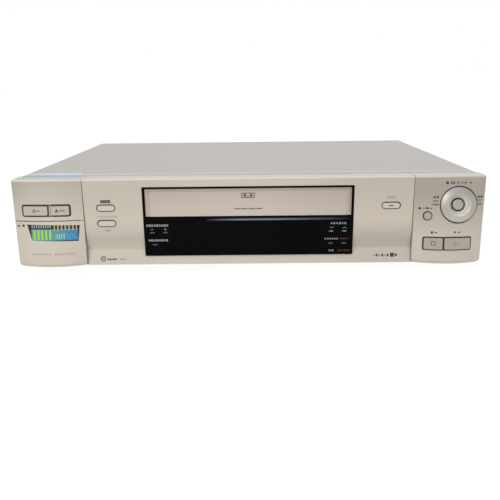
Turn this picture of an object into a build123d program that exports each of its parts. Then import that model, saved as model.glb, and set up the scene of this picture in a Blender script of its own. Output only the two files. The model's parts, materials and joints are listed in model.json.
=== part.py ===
from build123d import *
from math import atan, atan2, cos, degrees, hypot, pi, radians, sin
import os

# Front-loading video cassette recorder for the full-size home cassette.
# Millimetres. X to the right as the user faces it, Y to the back, Z up, origin on the floor under its centre.

os.makedirs("parts", exist_ok=True)

# ---- Case ----------------------------------------------------------------------------------------
CASE_WIDTH = 430.0
CASE_HEIGHT = 90.0
CASE_DEPTH = 320.0          # front panel to rear panel
FOOT_HEIGHT = 8.0
FOOT_RADIUS = 12.0
FOOT_INSET_X = 47.0         # foot centre in from the side
FOOT_INSET_Y = 40.0         # foot centre in from the front and rear
SHEET = 0.8                 # top cover steel
TRAY_SHEET = 1.0
REAR_SHEET = 1.2
TRAY_FLANGE = 15.0
COVER_BEND = 6.0
COVER_OVERHANG = 0.8        # side of the cheeks outside the cover
SKIRT_BOTTOM = 9.6
SEAT_GAP = 0.3              # between separate pieces that seat on each other

FRONT_Y = -CASE_DEPTH / 2
REAR_Y = CASE_DEPTH / 2
FOOT_X = CASE_WIDTH / 2 - FOOT_INSET_X
FOOT_Y = CASE_DEPTH / 2 - FOOT_INSET_Y
TRAY_TOP = FOOT_HEIGHT + TRAY_SHEET
COVER_X = CASE_WIDTH / 2 - COVER_OVERHANG
COVER_INNER_X = COVER_X - SHEET
COVER_INNER_TOP = CASE_HEIGHT - SHEET
TRAY_X = COVER_INNER_X - SEAT_GAP

# ---- Front panel and cheeks ----------------------------------------------------------------------
PANEL_TOP = CASE_HEIGHT - 0.8
PANEL_BOTTOM = FOOT_HEIGHT + 0.8
LEDGE_DEPTH = 20.0          # top ledge of the moulded front, ahead of the cover
WALL = 2.4                  # moulded walls of the front
CHEEK_WIDTH = 64.5          # from the side to the seam with the centre panel
SEAM_GAP = 0.5
LEDGE_EDGE = 1.5            # rounding of the top front edge
GROOVE_Z = PANEL_BOTTOM + 16.4
ROLL_TOP = GROOVE_Z + 14.0  # below this the centre panel rolls inward
GROOVE_DEPTH = 3.0
LIP_FLARE = 1.0             # lower lip ahead of the panel's plane
CHEEK_BOW = 10.0            # the cheek's belly ahead of the panel's plane
CHEEK_END_BOW = 3.0
CHEEK_TOP_BOW = 0.3
BELLY_Z = 13.0              # the cheek's front is straight from the top down to here
CORNER_TOP = 3.0
CORNER_BELLY = 8.0
CHEEK_ROLL = 3.9            # bottom edge of the cheek rolled under
BOSS_WALL = 4.0

LEDGE_BACK = FRONT_Y + LEDGE_DEPTH
COVER_FRONT = LEDGE_BACK + SEAM_GAP
SEAM_X = CASE_WIDTH / 2 - CHEEK_WIDTH
PANEL_X = SEAM_X - SEAM_GAP / 2
CHEEK_SEAM_X = SEAM_X + SEAM_GAP / 2
CHEEK_MID_X = (CHEEK_SEAM_X + CASE_WIDTH / 2) / 2
LEFT, RIGHT = -1, 1

# ---- Cassette ------------------------------------------------------------------------------------
CASSETTE_WIDTH = 187.0
CASSETTE_HEIGHT = 25.0
CASSETTE_GAP = 0.5          # under the cassette in the door's opening
CASSETTE_HEADROOM = 0.7
CASSETTE_SIDE_GAP = 1.2     # beside the cassette in the door's opening
REEL_SPACING = 92.0

# ---- Window and cassette door --------------------------------------------------------------------
WINDOW_STRIP = 1.5          # slim frame round the door's opening
WINDOW_TOP = PANEL_TOP - 8.0
WINDOW_BOTTOM = PANEL_BOTTOM + 8.2
WINDOW_PROUD = 0.6
WINDOW_THICK = 3.6
WINDOW_EDGE = 2.6           # rounded top edge of the display window
FIT_GAP = 0.3
DOOR_OPENING_WIDTH = CASSETTE_WIDTH + 2 * CASSETTE_SIDE_GAP
DOOR_OPENING_TOP = WINDOW_TOP - WINDOW_STRIP
DOOR_OPENING_BOTTOM = DOOR_OPENING_TOP - CASSETTE_HEIGHT - CASSETTE_GAP - CASSETTE_HEADROOM
WINDOW_WIDTH = DOOR_OPENING_WIDTH + 2 * WINDOW_STRIP
DOOR_GAP = 0.4
DOOR_THICK = 1.8
DOOR_RECESS = 1.8           # door face behind the panel's plane
DOOR_RAISE = 0.6            # proud centre field of the door
DOOR_FIELD_INSET = 4.0
DOOR_FIELD_TOP = 2.4
DOOR_AXIS_Y = FRONT_Y + 4.5
DOOR_AXIS_Z = PANEL_TOP - 5.8
DOOR_EAR = 2.3
EAR_HALF = 1.4              # half the thickness of the ear round its pin
EAR_ROOT = 5.0              # the ear's root down the back of the door
PIN_INNER = 5.0             # length of pin inside the ear, for the spring
PIN_RADIUS = 1.2
RUNNING_GAP = 0.08          # radial play of pins and shafts

WINDOW_FACE = FRONT_Y - WINDOW_PROUD
WINDOW_BACK = WINDOW_FACE + WINDOW_THICK
DOOR_X = DOOR_OPENING_WIDTH / 2 - DOOR_GAP
DOOR_TOP = DOOR_OPENING_TOP - DOOR_GAP
DOOR_BOTTOM = DOOR_OPENING_BOTTOM + DOOR_GAP
DOOR_FACE = FRONT_Y + DOOR_RECESS

# ---- Buttons -------------------------------------------------------------------------------------
BUTTON_GAP = 0.7
BUTTON_PROUD = 0.9
BUTTON_BACK = FRONT_Y + 6.0
BUTTON_TRAVEL = 0.8
STEM_RADIUS = 1.5
STEM_GAP = 1.1              # stem to switch, a little over the travel
BOARD_FACE = FRONT_Y + 14.0
BOARD_THICK = 1.6
SWITCH_SIZE = 6.0
SWITCH_DEPTH = 3.6
PILL_LENGTH = 17.2         # openings, a gap wider than the caps
PILL_HEIGHT = 6.3
PILL_X = SEAM_X - 20.5
UPPER_PILL_Z = PANEL_TOP - 26.6
LOWER_PILL_Z = PANEL_TOP - 41.0
POWER_ROW_Z = PANEL_TOP - 27.75
POWER_ROW_HEIGHT = 9.6
POWER_X = 21.6 - CASE_WIDTH / 2
POWER_WIDTH = 23.4
EJECT_X = 43.9 - CASE_WIDTH / 2
EJECT_WIDTH = 17.8
RECORD_X = CASE_WIDTH / 2 - 52.2
RECORD_Z = PANEL_TOP - 35.9
RECORD_SIZE = 8.0
TAPE_ROW_Z = PANEL_BOTTOM + 19.3
TAPE_ROW_HEIGHT = 11.7
STOP_X = CASE_WIDTH / 2 - 46.45
STOP_WIDTH = 17.7
PLAY_X = CASE_WIDTH / 2 - 24.65
PLAY_WIDTH = 25.1
BUTTON_CORNER = 1.2
RING_X = CASE_WIDTH / 2 - 24.7
RING_Z = PANEL_TOP - 26.0
RING_HOLE = 16.7
RING_DEPTH = 6.0
RING_RIDGE = 10.4
RING_RIDGE_PROUD = 2.4
PAUSE_HOLE = 5.9
PAUSE_SINK = 1.4
KEY_WIDTH = 5.0
KEY_HEIGHT = 1.5
KEY_GAP = 0.45
KEY_TRAVEL = 0.4
KEY_PITCH = 12.0
UPPER_KEY_Z = WINDOW_BOTTOM + 22.2
LOWER_KEY_Z = WINDOW_BOTTOM + 10.8
CHANNEL_X = 82.1
COUNTER_X = -82.6
CLOCK_X = -86.5
TIMER_X = 75.7
SPEED_X = 88.0

# ---- Jack flap -----------------------------------------------------------------------------------
FLAP_TOP = PANEL_TOP - 37.7
FLAP_GAP = 0.35
FLAP_BACK = FRONT_Y + 11.7
FLAP_FLOOR_BACK = FRONT_Y + 3.7
FLAP_AXIS_Y = FRONT_Y - 1.0
FLAP_AXIS_Z = FOOT_HEIGHT + 4.5
FLAP_SWEEP = 6.6            # radius that the flap's lower wall needs round its hinge
ROD_RADIUS = 1.0
KNUCKLE_RADIUS = 2.6
KNUCKLE_WIDTH = 2.0
KNUCKLE_GAP = 0.4
LUG_XS = (48.0 - CASE_WIDTH / 2, 16.0 - CASE_WIDTH / 2)
ROD_PAST_LUG = 5.0
EAR_BITE = 1.0              # how deep each ear of the flap is set into its wall
JACK_PLATE = 2.0
JACK_MIDDLE_X = 32.5 - CASE_WIDTH / 2
JACK_PITCH = 18.0
JACK_Z = 30.0
JACK_SHELL = 4.15
JACK_SOCKET = 2.6
JACK_LENGTH = 8.0
SHELL_SEAT = 0.05           # between a socket's shell and the block behind it
JACK_BLOCK_MARGIN = 6.0

JACK_XS = (JACK_MIDDLE_X + JACK_PITCH, JACK_MIDDLE_X, JACK_MIDDLE_X - JACK_PITCH)
CHEEK_FLOOR = PANEL_BOTTOM + 2.0
JACK_PLATE_FACE = FLAP_BACK + 1.1
JACK_PLATE_BACK = JACK_PLATE_FACE + JACK_PLATE
LUG_BACK = JACK_PLATE_FACE - SEAT_GAP

# ---- Deck ----------------------------------------------------------------------------------------
DECK_SETBACK = 160.0        # the deck's datum behind the front; the depths below are from it
DECK_Y = FRONT_Y + DECK_SETBACK
HOLDER_SIDE_GAP = 0.7
HOLDER_SHEET = 1.0
HOLDER_X = CASSETTE_WIDTH / 2 + HOLDER_SIDE_GAP
CARRIAGE_SIDE_GAP = 1.4
FRAME_SHEET = 1.2
CARRIAGE_X = HOLDER_X + HOLDER_SHEET + CARRIAGE_SIDE_GAP
FRAME_SIDE_GAP = 1.2
FRAME_FLANGE = 4.5
FRAME_X = CARRIAGE_X + FRAME_SHEET + FRAME_SIDE_GAP
DECK_MARGIN = 0.5
DECK_Z = 24.0
DECK_SHEET = 1.6
DECK_X = FRAME_X + FRAME_FLANGE + DECK_MARGIN
DECK_RIM = 7.0              # flange below the deck's sides
DECK_CORNER = 3.0
DECK_FRONT = DECK_Y - 124.0
DECK_BACK = DECK_Y + 82.0
POST_RADIUS = 4.0
POST_X = FRAME_X - 7.0
POST_YS = (DECK_Y - 110.0, DECK_Y + 72.0)
SCREW_RADIUS = 1.4
SCREW_HEAD = 3.0
SCREW_HEAD_HEIGHT = 1.8
REEL_Y = DECK_Y - 58.0
REEL_RADIUS = 22.0
REEL_Z = 27.0
REEL_THICK = 4.0
REEL_HUB = 9.0
SPINDLE_RADIUS = 5.0
SPINDLE_TOP = 44.0
SPINDLE_FIN = 1.6
SHAFT_RADIUS = 2.0
CLUTCH_Y = DECK_Y - 84.0
CLUTCH_RADIUS = 12.7
IDLER_ARM = 22.0
IDLER_RADIUS = 9.0
PULLEY_Z = 17.4
PULLEY_THICK = 3.2
CLUTCH_PULLEY = 14.0
CAPSTAN_X = 58.0
CAPSTAN_Y = DECK_Y + 12.0
ROTOR_RADIUS = 22.0
ROTOR_Z = 11.5
CAPSTAN_PULLEY = 8.0
CAPSTAN_TOP = 56.0
BEARING_RADIUS = 4.5
BEARING_DROP = 3.0
BEARING_RISE = 6.5
BELT_THICK = 1.0
BELT_HEIGHT = 2.4
DRUM_Y = DECK_Y + 38.0
DRUM_RADIUS = 31.0
DRUM_TILT = 5.0
DRUM_Z = 32.5
LOWER_DRUM = 15.0
UPPER_DRUM = 14.0
DRUM_SPLIT = 0.4
DRUM_BASE = 24.0
GUIDE_REST = (28.0, DECK_Y - 16.0)
GUIDE_LOADED = (42.0, DECK_Y + 46.0)
GUIDE_SLOT = 5.0
GUIDE_BASE_LENGTH = 9.0
GUIDE_BASE_WIDTH = 9.0
GUIDE_BASE_HEIGHT = 4.0
GUIDE_ROLLER = 2.6
GUIDE_TOP = 59.0
PINCH_PIVOT = (90.0, DECK_Y + 4.0)
PINCH_ROLLER_AT = (73.1, DECK_Y + 23.5)
PINCH_RADIUS = 6.5
PINCH_BOSS = 3.5
PINCH_Z = 33.0
PINCH_HEIGHT = 20.0
ARM_POST = 2.5
ARM_SLEEVE = 4.5
ARM_SLEEVE_HEIGHT = 12.0
ARM_Z = 28.0
ARM_SHEET = 2.0
TENSION_PIVOT = (-90.0, DECK_Y + 4.0)
TENSION_POLE_AT = (-66.4, DECK_Y + 8.2)
GEAR_MODULE = 0.8
CAM_TEETH = 48
PINION_TEETH = 12
GEAR_BACKLASH = 0.3
CAM_X = -74.0
CAM_Y = DECK_Y + 52.0
GEAR_Z = 26.6
GEAR_THICK = 4.0
MOTOR_RADIUS = 12.0
MOTOR_Z = 11.5

LOADED_BOTTOM = 36.0        # underside of a cassette seated on the reels
FRAME_FRONT = DECK_FRONT
FRAME_BACK = DECK_Y - 4.0
FRAME_RAIL = 13.0           # metal left round the window in each side plate
BRIDGE_Y = DECK_Y - 62.0
BRIDGE_WIDTH = 16.0
CARRIAGE_FRONT = DECK_Y - 121.0
CARRIAGE_BACK = DECK_Y - 77.0
CARRIAGE_TRAVEL = 68.0
GUIDE_PIN = 1.5
PIN_PLAY = 0.3
PIN_PAST = 0.6              # pin ends past the plate that they run in
CARRIAGE_PIN_YS = (DECK_Y - 114.0, DECK_Y - 84.0)
HOLDER_FRONT = DECK_Y - 122.0
HOLDER_BACK = DECK_Y - 76.0
HOLDER_LEDGE = 11.0
HOLDER_PIN_YS = (DECK_Y - 106.0, DECK_Y - 92.0)

CASSETTE_Z = DOOR_OPENING_BOTTOM + CASSETTE_GAP
HOLDER_DROP = CASSETTE_Z - LOADED_BOTTOM
DECK_TOP = DECK_Z + DECK_SHEET
HOLDER_FLOOR = CASSETTE_Z - FIT_GAP
HOLDER_ROOF = CASSETTE_Z + CASSETTE_HEIGHT + FIT_GAP
HOLDER_PIN_Z = HOLDER_FLOOR + 8.3
CARRIAGE_PIN_Z = HOLDER_ROOF - 3.3
CARRIAGE_BOTTOM = HOLDER_PIN_Z - HOLDER_DROP - 6.0
CARRIAGE_BAR_Z = HOLDER_ROOF + HOLDER_SHEET + 1.6
BRIDGE_Z = CARRIAGE_BAR_Z + FRAME_SHEET + 0.8
PINION_X = CAM_X
PINION_Y = CAM_Y - GEAR_MODULE * (CAM_TEETH + PINION_TEETH) / 2

# ---- Electronics ---------------------------------------------------------------------------------
BOARD_Z = 18.0
STUD_RADIUS = 3.0
STUD_INSET = 8.0            # from the edges of a board
REAR_INNER = REAR_Y - REAR_SHEET - SEAT_GAP
MAIN_LEFT = DECK_X + 10.0
MAIN_RIGHT = TRAY_X - 5.1
MAIN_FRONT = LEDGE_BACK + 12.0
MAIN_BACK = REAR_INNER - 8.5
MAIN_STRIP_LEFT = -60.0
MAIN_STRIP_FRONT = DECK_BACK + 12.0
MAIN_STUD_YS = (MAIN_FRONT + STUD_INSET, MAIN_STRIP_FRONT - 34.0)
STRIP_STUD_YS = (MAIN_STRIP_FRONT + STUD_INSET, MAIN_BACK - STUD_INSET)
MAIN_STUDS = [(x, y) for x in (MAIN_LEFT + STUD_INSET, MAIN_RIGHT - STUD_INSET) for y in MAIN_STUD_YS]
STRIP_STUD_XS = (MAIN_STRIP_LEFT + STUD_INSET, 30.0, MAIN_RIGHT - STUD_INSET)
STRIP_STUDS = [(x, y) for x in STRIP_STUD_XS for y in STRIP_STUD_YS]
POWER_LEFT = 7.1 - TRAY_X
POWER_RIGHT = -10.0 - DECK_X
POWER_BACK = REAR_INNER - 20.5
POWER_FRONT = POWER_BACK - 98.0
POWER_STUD_YS = (POWER_FRONT + STUD_INSET, POWER_BACK - STUD_INSET)
POWER_STUDS = [(x, y) for x in (POWER_LEFT + STUD_INSET, POWER_RIGHT - STUD_INSET) for y in POWER_STUD_YS]
TUNER_X = MAIN_RIGHT - 30.0
TUNER_WIDTH = 44.0
TUNER_DEPTH = 62.0
TUNER_HEIGHT = 56.0
TUNER_SHEET = 1.0
AERIAL_ZS = (62.0, 38.0)
AERIAL_RADIUS = 4.75
AERIAL_BORE = 1.0
AERIAL_LENGTH = 7.7
AERIAL_NUT = 6.35            # half the width of the nut across its flats
AERIAL_NUT_THICK = 2.0
SOCKET_BLOCK_X = MAIN_RIGHT - 96.0
SOCKET_BLOCK_WIDTH = 42.0
SOCKET_BLOCK_HEIGHT = 54.0
SOCKET_BLOCK_DEPTH = 11.0
SOCKET_DX = 9.5
SOCKET_ZS = (34.0, 48.0, 62.0)
INLET_X = 45.0 - CASE_WIDTH / 2
INLET_Z = 40.0
INLET_LENGTH = 17.0
INLET_HEIGHT = 8.6
INLET_DEPTH = 12.0
INLET_WALL = 3.5
INLET_BODY_DEPTH = 18.0
INLET_RIM = 2.5
INLET_RIM_THICK = 1.5
INLET_PIN = 1.2
INLET_PIN_SPACING = 8.6

BOARD_TOP = BOARD_Z + BOARD_THICK
SWITCH_FACE = BOARD_FACE - SWITCH_DEPTH
AHEAD = FRONT_Y - 2 * CHEEK_BOW      # a plane clear of the whole front


def save(builder, label):
    """Label a finished piece and write it as its own STEP file."""
    builder.part.label = label
    export_step(builder.part, f"parts/{label}.step")


def facing(y):
    """Plane across the recorder at depth y, seen from the front: local x to the right, local y up."""
    return Plane.XZ.offset(-y)


def mirrored(low, high, side):
    """A pair of limits across the recorder, on one side of its centre line."""
    return tuple(sorted((side * low, side * high)))


def block(x_range, y_range, z_range, mode=Mode.ADD):
    """Box between pairs of limits, in the current part."""
    size = [high - low for low, high in (x_range, y_range, z_range)]
    middle = [(high + low) / 2 for low, high in (x_range, y_range, z_range)]
    with Locations(tuple(middle)):
        Box(*size, mode=mode)


def rod(radius, start, end, mode=Mode.ADD):
    """Cylinder from one point to another, in the current part."""
    run = Vector(*end) - Vector(*start)
    with BuildSketch(Plane(origin=start, z_dir=run)) as section:
        Circle(radius)
    extrude(section.sketch, amount=run.length, mode=mode)


def tube(outer, inner, centre, bottom, top):
    """Upright tube about a point of the deck, in the current part."""
    rod(outer, (*centre, bottom), (*centre, top))
    rod(inner, (*centre, bottom), (*centre, top), mode=Mode.SUBTRACT)


# ---- Shape of the cheeks -------------------------------------------------------------------------
def cheek_bow(level, end=False):
    """How far the cheek's front stands ahead of the panel's plane at a level: it grows down to the belly."""
    full = CHEEK_END_BOW if end else CHEEK_BOW
    top = 0.0 if end else CHEEK_TOP_BOW
    fall = min((PANEL_TOP - level) / (PANEL_TOP - BELLY_Z), 1.0)
    return top + (full - top) * fall


def cheek_front(x, level):
    """Depth of the cheek's face at a point: a shallow arc across its width."""
    across = (abs(x) - CHEEK_MID_X) / (CASE_WIDTH / 2 - CHEEK_MID_X)
    return FRONT_Y - cheek_bow(level) + (cheek_bow(level) - cheek_bow(level, end=True)) * across**2


def cheek_section(side, level, grow, seam_x, back):
    """Plan of a cheek at one level, with its front and outer side moved out by grow."""
    outer_x = CASE_WIDTH / 2 + grow
    middle_y = FRONT_Y - grow - cheek_bow(level)
    end_y = FRONT_Y - grow - cheek_bow(level, end=True)
    fall = min((PANEL_TOP - level) / (PANEL_TOP - BELLY_Z), 1.0)
    corner = CORNER_TOP + (CORNER_BELLY - CORNER_TOP) * fall + grow
    with BuildSketch(Plane.XY.offset(level)) as plan:
        with BuildLine():
            ThreePointArc(
                (side * seam_x, end_y), (side * CHEEK_MID_X, middle_y), (side * outer_x, end_y)
            )
            corners = ((outer_x, end_y), (outer_x, back), (seam_x, back), (seam_x, end_y))
            Polyline(*[(side * x, y) for x, y in corners])
        make_face()
        fillet(plan.vertices().sort_by_distance((side * outer_x, end_y))[0], corner)
    return plan.sketch


def cheek_solid(side, top, bottom, grow=0.0, seam_x=CHEEK_SEAM_X, back=LEDGE_BACK, mode=Mode.ADD):
    """Solid of the cheek's own outline between two levels, straight down to the belly and below it."""
    levels = [top] + [BELLY_Z] * (bottom < BELLY_Z < top) + [bottom]
    sections = [cheek_section(side, level, grow, seam_x, back) for level in levels]
    for upper, lower in zip(sections, sections[1:]):
        loft([upper, lower], ruled=True, mode=mode)


def cheek_shell(side):
    """Hollow cheek, open at the back, with a rounded top edge and a rolled-under bottom edge."""

    def ahead(edge):
        return edge.center().Y < LEDGE_BACK - 1 and abs(edge.center().X) > CHEEK_SEAM_X + 1

    with BuildPart() as shell:
        cheek_solid(side, PANEL_TOP, PANEL_BOTTOM)
        fillet(shell.edges().group_by(Axis.Z)[0].filter_by(ahead), CHEEK_ROLL)
        fillet(shell.edges().group_by(Axis.Z)[-1].filter_by(ahead), LEDGE_EDGE)
        cheek_solid(
            side, PANEL_TOP - WALL, CHEEK_FLOOR, -WALL, CHEEK_SEAM_X + WALL, LEDGE_BACK + 1, Mode.SUBTRACT
        )
    return shell.part


def outline(shape, x, z, width, height, grow=0.0):
    """Outline of a front opening, or of the cap inside it when grow is negative, on the plane ahead."""
    with BuildSketch(facing(AHEAD)) as sketch:
        with Locations((x, z)):
            if shape == "pill":
                SlotOverall(width + 2 * grow, height + 2 * grow)
            elif shape == "round":
                Circle(width / 2 + grow)
            else:
                RectangleRounded(width + 2 * grow, height + 2 * grow, BUTTON_CORNER + min(grow, 0) / 2)
    return sketch.sketch


def punch(sketch, back, mode=Mode.SUBTRACT):
    """Drive an outline from the plane ahead to a depth, to cut with it or to keep what it covers."""
    extrude(sketch, amount=AHEAD - back, mode=mode)


# ---- Openings of the buttons ---------------------------------------------------------------------
CENTRE_BUTTONS = {
    "upper_left_button": ("pill", -PILL_X, UPPER_PILL_Z, PILL_LENGTH, PILL_HEIGHT),
    "lower_left_button": ("pill", -PILL_X, LOWER_PILL_Z, PILL_LENGTH, PILL_HEIGHT),
    "upper_right_button": ("pill", PILL_X, UPPER_PILL_Z, PILL_LENGTH, PILL_HEIGHT),
}
LEFT_BUTTONS = {
    "power_button": ("flat", POWER_X, POWER_ROW_Z, POWER_WIDTH, POWER_ROW_HEIGHT),
    "eject_button": ("flat", EJECT_X, POWER_ROW_Z, EJECT_WIDTH, POWER_ROW_HEIGHT),
}
RIGHT_BUTTONS = {
    "record_button": ("round", RECORD_X, RECORD_Z, RECORD_SIZE, RECORD_SIZE),
    "stop_button": ("flat", STOP_X, TAPE_ROW_Z, STOP_WIDTH, TAPE_ROW_HEIGHT),
    "play_button": ("flat", PLAY_X, TAPE_ROW_Z, PLAY_WIDTH, TAPE_ROW_HEIGHT),
}
RING_SLOPE = atan((cheek_front(RING_X, PANEL_TOP) - cheek_front(RING_X, BELLY_Z)) / (PANEL_TOP - BELLY_Z))
RING_PLANE = Plane(
    origin=(RING_X, cheek_front(RING_X, RING_Z), RING_Z),
    x_dir=(1, 0, 0),
    z_dir=(0, -cos(RING_SLOPE), sin(RING_SLOPE)),
)
ROCKERS = {"channel_rocker": CHANNEL_X, "counter_rocker": COUNTER_X}
SINGLE_KEYS = {"clock_key": CLOCK_X, "timer_key": TIMER_X, "speed_key": SPEED_X}

# ---- Moulded front -------------------------------------------------------------------------------
left_shell = cheek_shell(LEFT)
right_shell = cheek_shell(RIGHT)
FLAP_CUT_TOP = FLAP_TOP + FLAP_GAP
INNER_SIDE_X = CASE_WIDTH / 2 - WALL
INNER_SEAM_X = CHEEK_SEAM_X + WALL
PAST_SEAM_X = -SEAM_X + WALL
PAST_SIDE_X = -CASE_WIDTH / 2 - WALL


def flap_space(gap):
    """Room of the flap: the front below the parting line, with ends that swing clear, and the rolled edge."""
    hinge = [(x, FLAP_AXIS_Y, FLAP_AXIS_Z) for x in (PAST_SIDE_X, PAST_SEAM_X)]
    width = (PAST_SIDE_X, PAST_SEAM_X)
    rod(FLAP_TOP - FLAP_AXIS_Z + gap, *hinge)
    block(width, (AHEAD, FLAP_BACK + gap), (FLAP_AXIS_Z - gap, FLAP_TOP + gap), Mode.INTERSECT)
    block(width, (AHEAD, FLAP_AXIS_Y + WALL), (FLAP_AXIS_Z - gap, FLAP_TOP + gap))
    block(width, (AHEAD, FLAP_FLOOR_BACK), (FOOT_HEIGHT, FLAP_AXIS_Z))


with BuildPart() as flap_room:
    flap_space(FLAP_GAP)
    rod(FLAP_SWEEP, (PAST_SIDE_X, FLAP_AXIS_Y, FLAP_AXIS_Z), (PAST_SEAM_X, FLAP_AXIS_Y, FLAP_AXIS_Z))

with BuildPart() as left_cheek:
    add(left_shell)
    add(flap_room.part, mode=Mode.SUBTRACT)
    # ceiling of the jack recess
    cheek_solid(LEFT, FLAP_CUT_TOP + WALL, FLAP_CUT_TOP, -WALL / 2, INNER_SEAM_X - WALL / 2, JACK_PLATE_BACK)
    # hinge rod on its two lugs
    for x in LUG_XS:
        lug = (x - KNUCKLE_WIDTH / 2, x + KNUCKLE_WIDTH / 2)
        rod(KNUCKLE_RADIUS, (lug[0], FLAP_AXIS_Y, FLAP_AXIS_Z), (lug[1], FLAP_AXIS_Y, FLAP_AXIS_Z))
        block(lug, (FLAP_AXIS_Y, LUG_BACK), (FLAP_AXIS_Z - ROD_RADIUS, FLAP_AXIS_Z + KNUCKLE_RADIUS))
        block(lug, (FLAP_AXIS_Y + FLAP_SWEEP, LUG_BACK), (CHEEK_FLOOR - 1, FLAP_AXIS_Z))
    rod_ends = (min(LUG_XS) - ROD_PAST_LUG, max(LUG_XS) + ROD_PAST_LUG)
    rod(ROD_RADIUS, *[(x, FLAP_AXIS_Y, FLAP_AXIS_Z) for x in rod_ends])
    for opening in LEFT_BUTTONS.values():
        punch(outline(*opening), LEDGE_BACK)
save(left_cheek, "left_cheek")

with BuildPart() as flap_solid:
    flap_space(0.0)
with BuildPart() as jack_flap:
    add(left_shell)
    add(flap_solid.part, mode=Mode.INTERSECT)
    for x in LUG_XS:
        # ear beside each lug, and a notch that lets the lower wall swing past the lug
        ear = (x + KNUCKLE_WIDTH / 2 + KNUCKLE_GAP, x + 1.5 * KNUCKLE_WIDTH + KNUCKLE_GAP)
        rod(KNUCKLE_RADIUS, (ear[0], FLAP_AXIS_Y, FLAP_AXIS_Z), (ear[1], FLAP_AXIS_Y, FLAP_AXIS_Z))
        ear_front = FRONT_Y - cheek_bow(BELLY_Z, end=True) + EAR_BITE
        ear_top = FLAP_AXIS_Z + KNUCKLE_RADIUS
        block(ear, (ear_front - 2 * EAR_BITE, FLAP_AXIS_Y), (FLAP_AXIS_Z - KNUCKLE_RADIUS, ear_top))
        block(ear, (cheek_front(x, BELLY_Z) + EAR_BITE, ear_front), (FLAP_AXIS_Z - ROD_RADIUS, ear_top))
        block(
            (x - KNUCKLE_WIDTH / 2 - KNUCKLE_GAP, x + KNUCKLE_WIDTH / 2 + KNUCKLE_GAP),
            (FLAP_AXIS_Y - KNUCKLE_RADIUS, FLAP_FLOOR_BACK + 1),
            (FOOT_HEIGHT, FLAP_AXIS_Z),
            mode=Mode.SUBTRACT,
        )
    rod(
        ROD_RADIUS + RUNNING_GAP,
        (PAST_SIDE_X, FLAP_AXIS_Y, FLAP_AXIS_Z),
        (PAST_SEAM_X, FLAP_AXIS_Y, FLAP_AXIS_Z),
        mode=Mode.SUBTRACT,
    )
save(jack_flap, "jack_flap")

with BuildPart() as right_cheek:
    add(right_shell)
    for opening in RIGHT_BUTTONS.values():
        punch(outline(*opening), LEDGE_BACK)
    with BuildSketch(RING_PLANE.offset(CHEEK_BOW)):
        Circle(RING_HOLE)
    extrude(amount=-2 * CHEEK_BOW, mode=Mode.SUBTRACT)
save(right_cheek, "right_cheek")


def panel_profile(inset, back):
    """Side view of the centre panel: upright, rolled inward to a groove, then flared to a lower lip."""
    top = PANEL_TOP - inset
    front = FRONT_Y + inset
    groove = (front + GROOVE_DEPTH, GROOVE_Z)
    with BuildSketch(Plane.YZ) as profile:
        with BuildLine():
            Polyline((back, top), (front, top), (front, ROLL_TOP))
            TangentArc((front, ROLL_TOP), groove, tangent=(0, -1))
            bottom = PANEL_BOTTOM + inset
            Polyline(groove, (front - LIP_FLARE, bottom), (back, bottom), (back, top))
        make_face()
    return profile.sketch


with BuildPart() as front_panel:
    extrude(panel_profile(0.0, LEDGE_BACK), amount=PANEL_X, both=True)
    fillet(front_panel.edges().filter_by(Axis.X).sort_by_distance((0, FRONT_Y, PANEL_TOP))[0], LEDGE_EDGE)
    extrude(panel_profile(WALL, LEDGE_BACK + 1), amount=PANEL_X - WALL, both=True, mode=Mode.SUBTRACT)
    block(
        (-WINDOW_WIDTH / 2 - FIT_GAP, WINDOW_WIDTH / 2 + FIT_GAP),
        (AHEAD, LEDGE_BACK - WALL),
        (WINDOW_BOTTOM - FIT_GAP, WINDOW_TOP + FIT_GAP),
        mode=Mode.SUBTRACT,
    )
    for opening in CENTRE_BUTTONS.values():
        punch(outline(*opening), LEDGE_BACK - WALL)
    # bosses for the door's pins
    for side in (LEFT, RIGHT):
        near = DOOR_OPENING_WIDTH / 2
        block(
            mirrored(near, near + BOSS_WALL, side),
            (FRONT_Y + WALL / 2, DOOR_AXIS_Y + 3),
            (WINDOW_TOP + 2 * FIT_GAP, PANEL_TOP - WALL / 2),
        )
    rod(
        PIN_RADIUS + RUNNING_GAP,
        (-DOOR_OPENING_WIDTH / 2 - BOSS_WALL, DOOR_AXIS_Y, DOOR_AXIS_Z),
        (DOOR_OPENING_WIDTH / 2 + BOSS_WALL, DOOR_AXIS_Y, DOOR_AXIS_Z),
        mode=Mode.SUBTRACT,
    )
save(front_panel, "front_panel")

with BuildPart() as display_window:
    window_x = (-WINDOW_WIDTH / 2, WINDOW_WIDTH / 2)
    block(window_x, (WINDOW_FACE, WINDOW_BACK), (WINDOW_BOTTOM, DOOR_OPENING_BOTTOM))
    fillet(
        display_window.edges().filter_by(Axis.X).sort_by_distance((0, WINDOW_FACE, DOOR_OPENING_BOTTOM))[0],
        WINDOW_EDGE,
    )
    # slim frame round the cassette door
    frame_y = (WINDOW_FACE + FIT_GAP, WINDOW_BACK)
    block(window_x, frame_y, (DOOR_OPENING_TOP, WINDOW_TOP))
    for side in (LEFT, RIGHT):
        strip = mirrored(DOOR_OPENING_WIDTH / 2, WINDOW_WIDTH / 2, side)
        block(strip, frame_y, (DOOR_OPENING_BOTTOM - 2 * WINDOW_EDGE, WINDOW_TOP))
    for x in ROCKERS.values():
        for tip in (x - KEY_PITCH / 2, x + KEY_PITCH / 2):
            punch(outline("pill", tip, UPPER_KEY_Z, KEY_WIDTH, KEY_HEIGHT, KEY_GAP), WINDOW_BACK)
    for x in SINGLE_KEYS.values():
        punch(outline("pill", x, LOWER_KEY_Z, KEY_WIDTH, KEY_HEIGHT, KEY_GAP), WINDOW_BACK)
save(display_window, "display_window")

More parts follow.
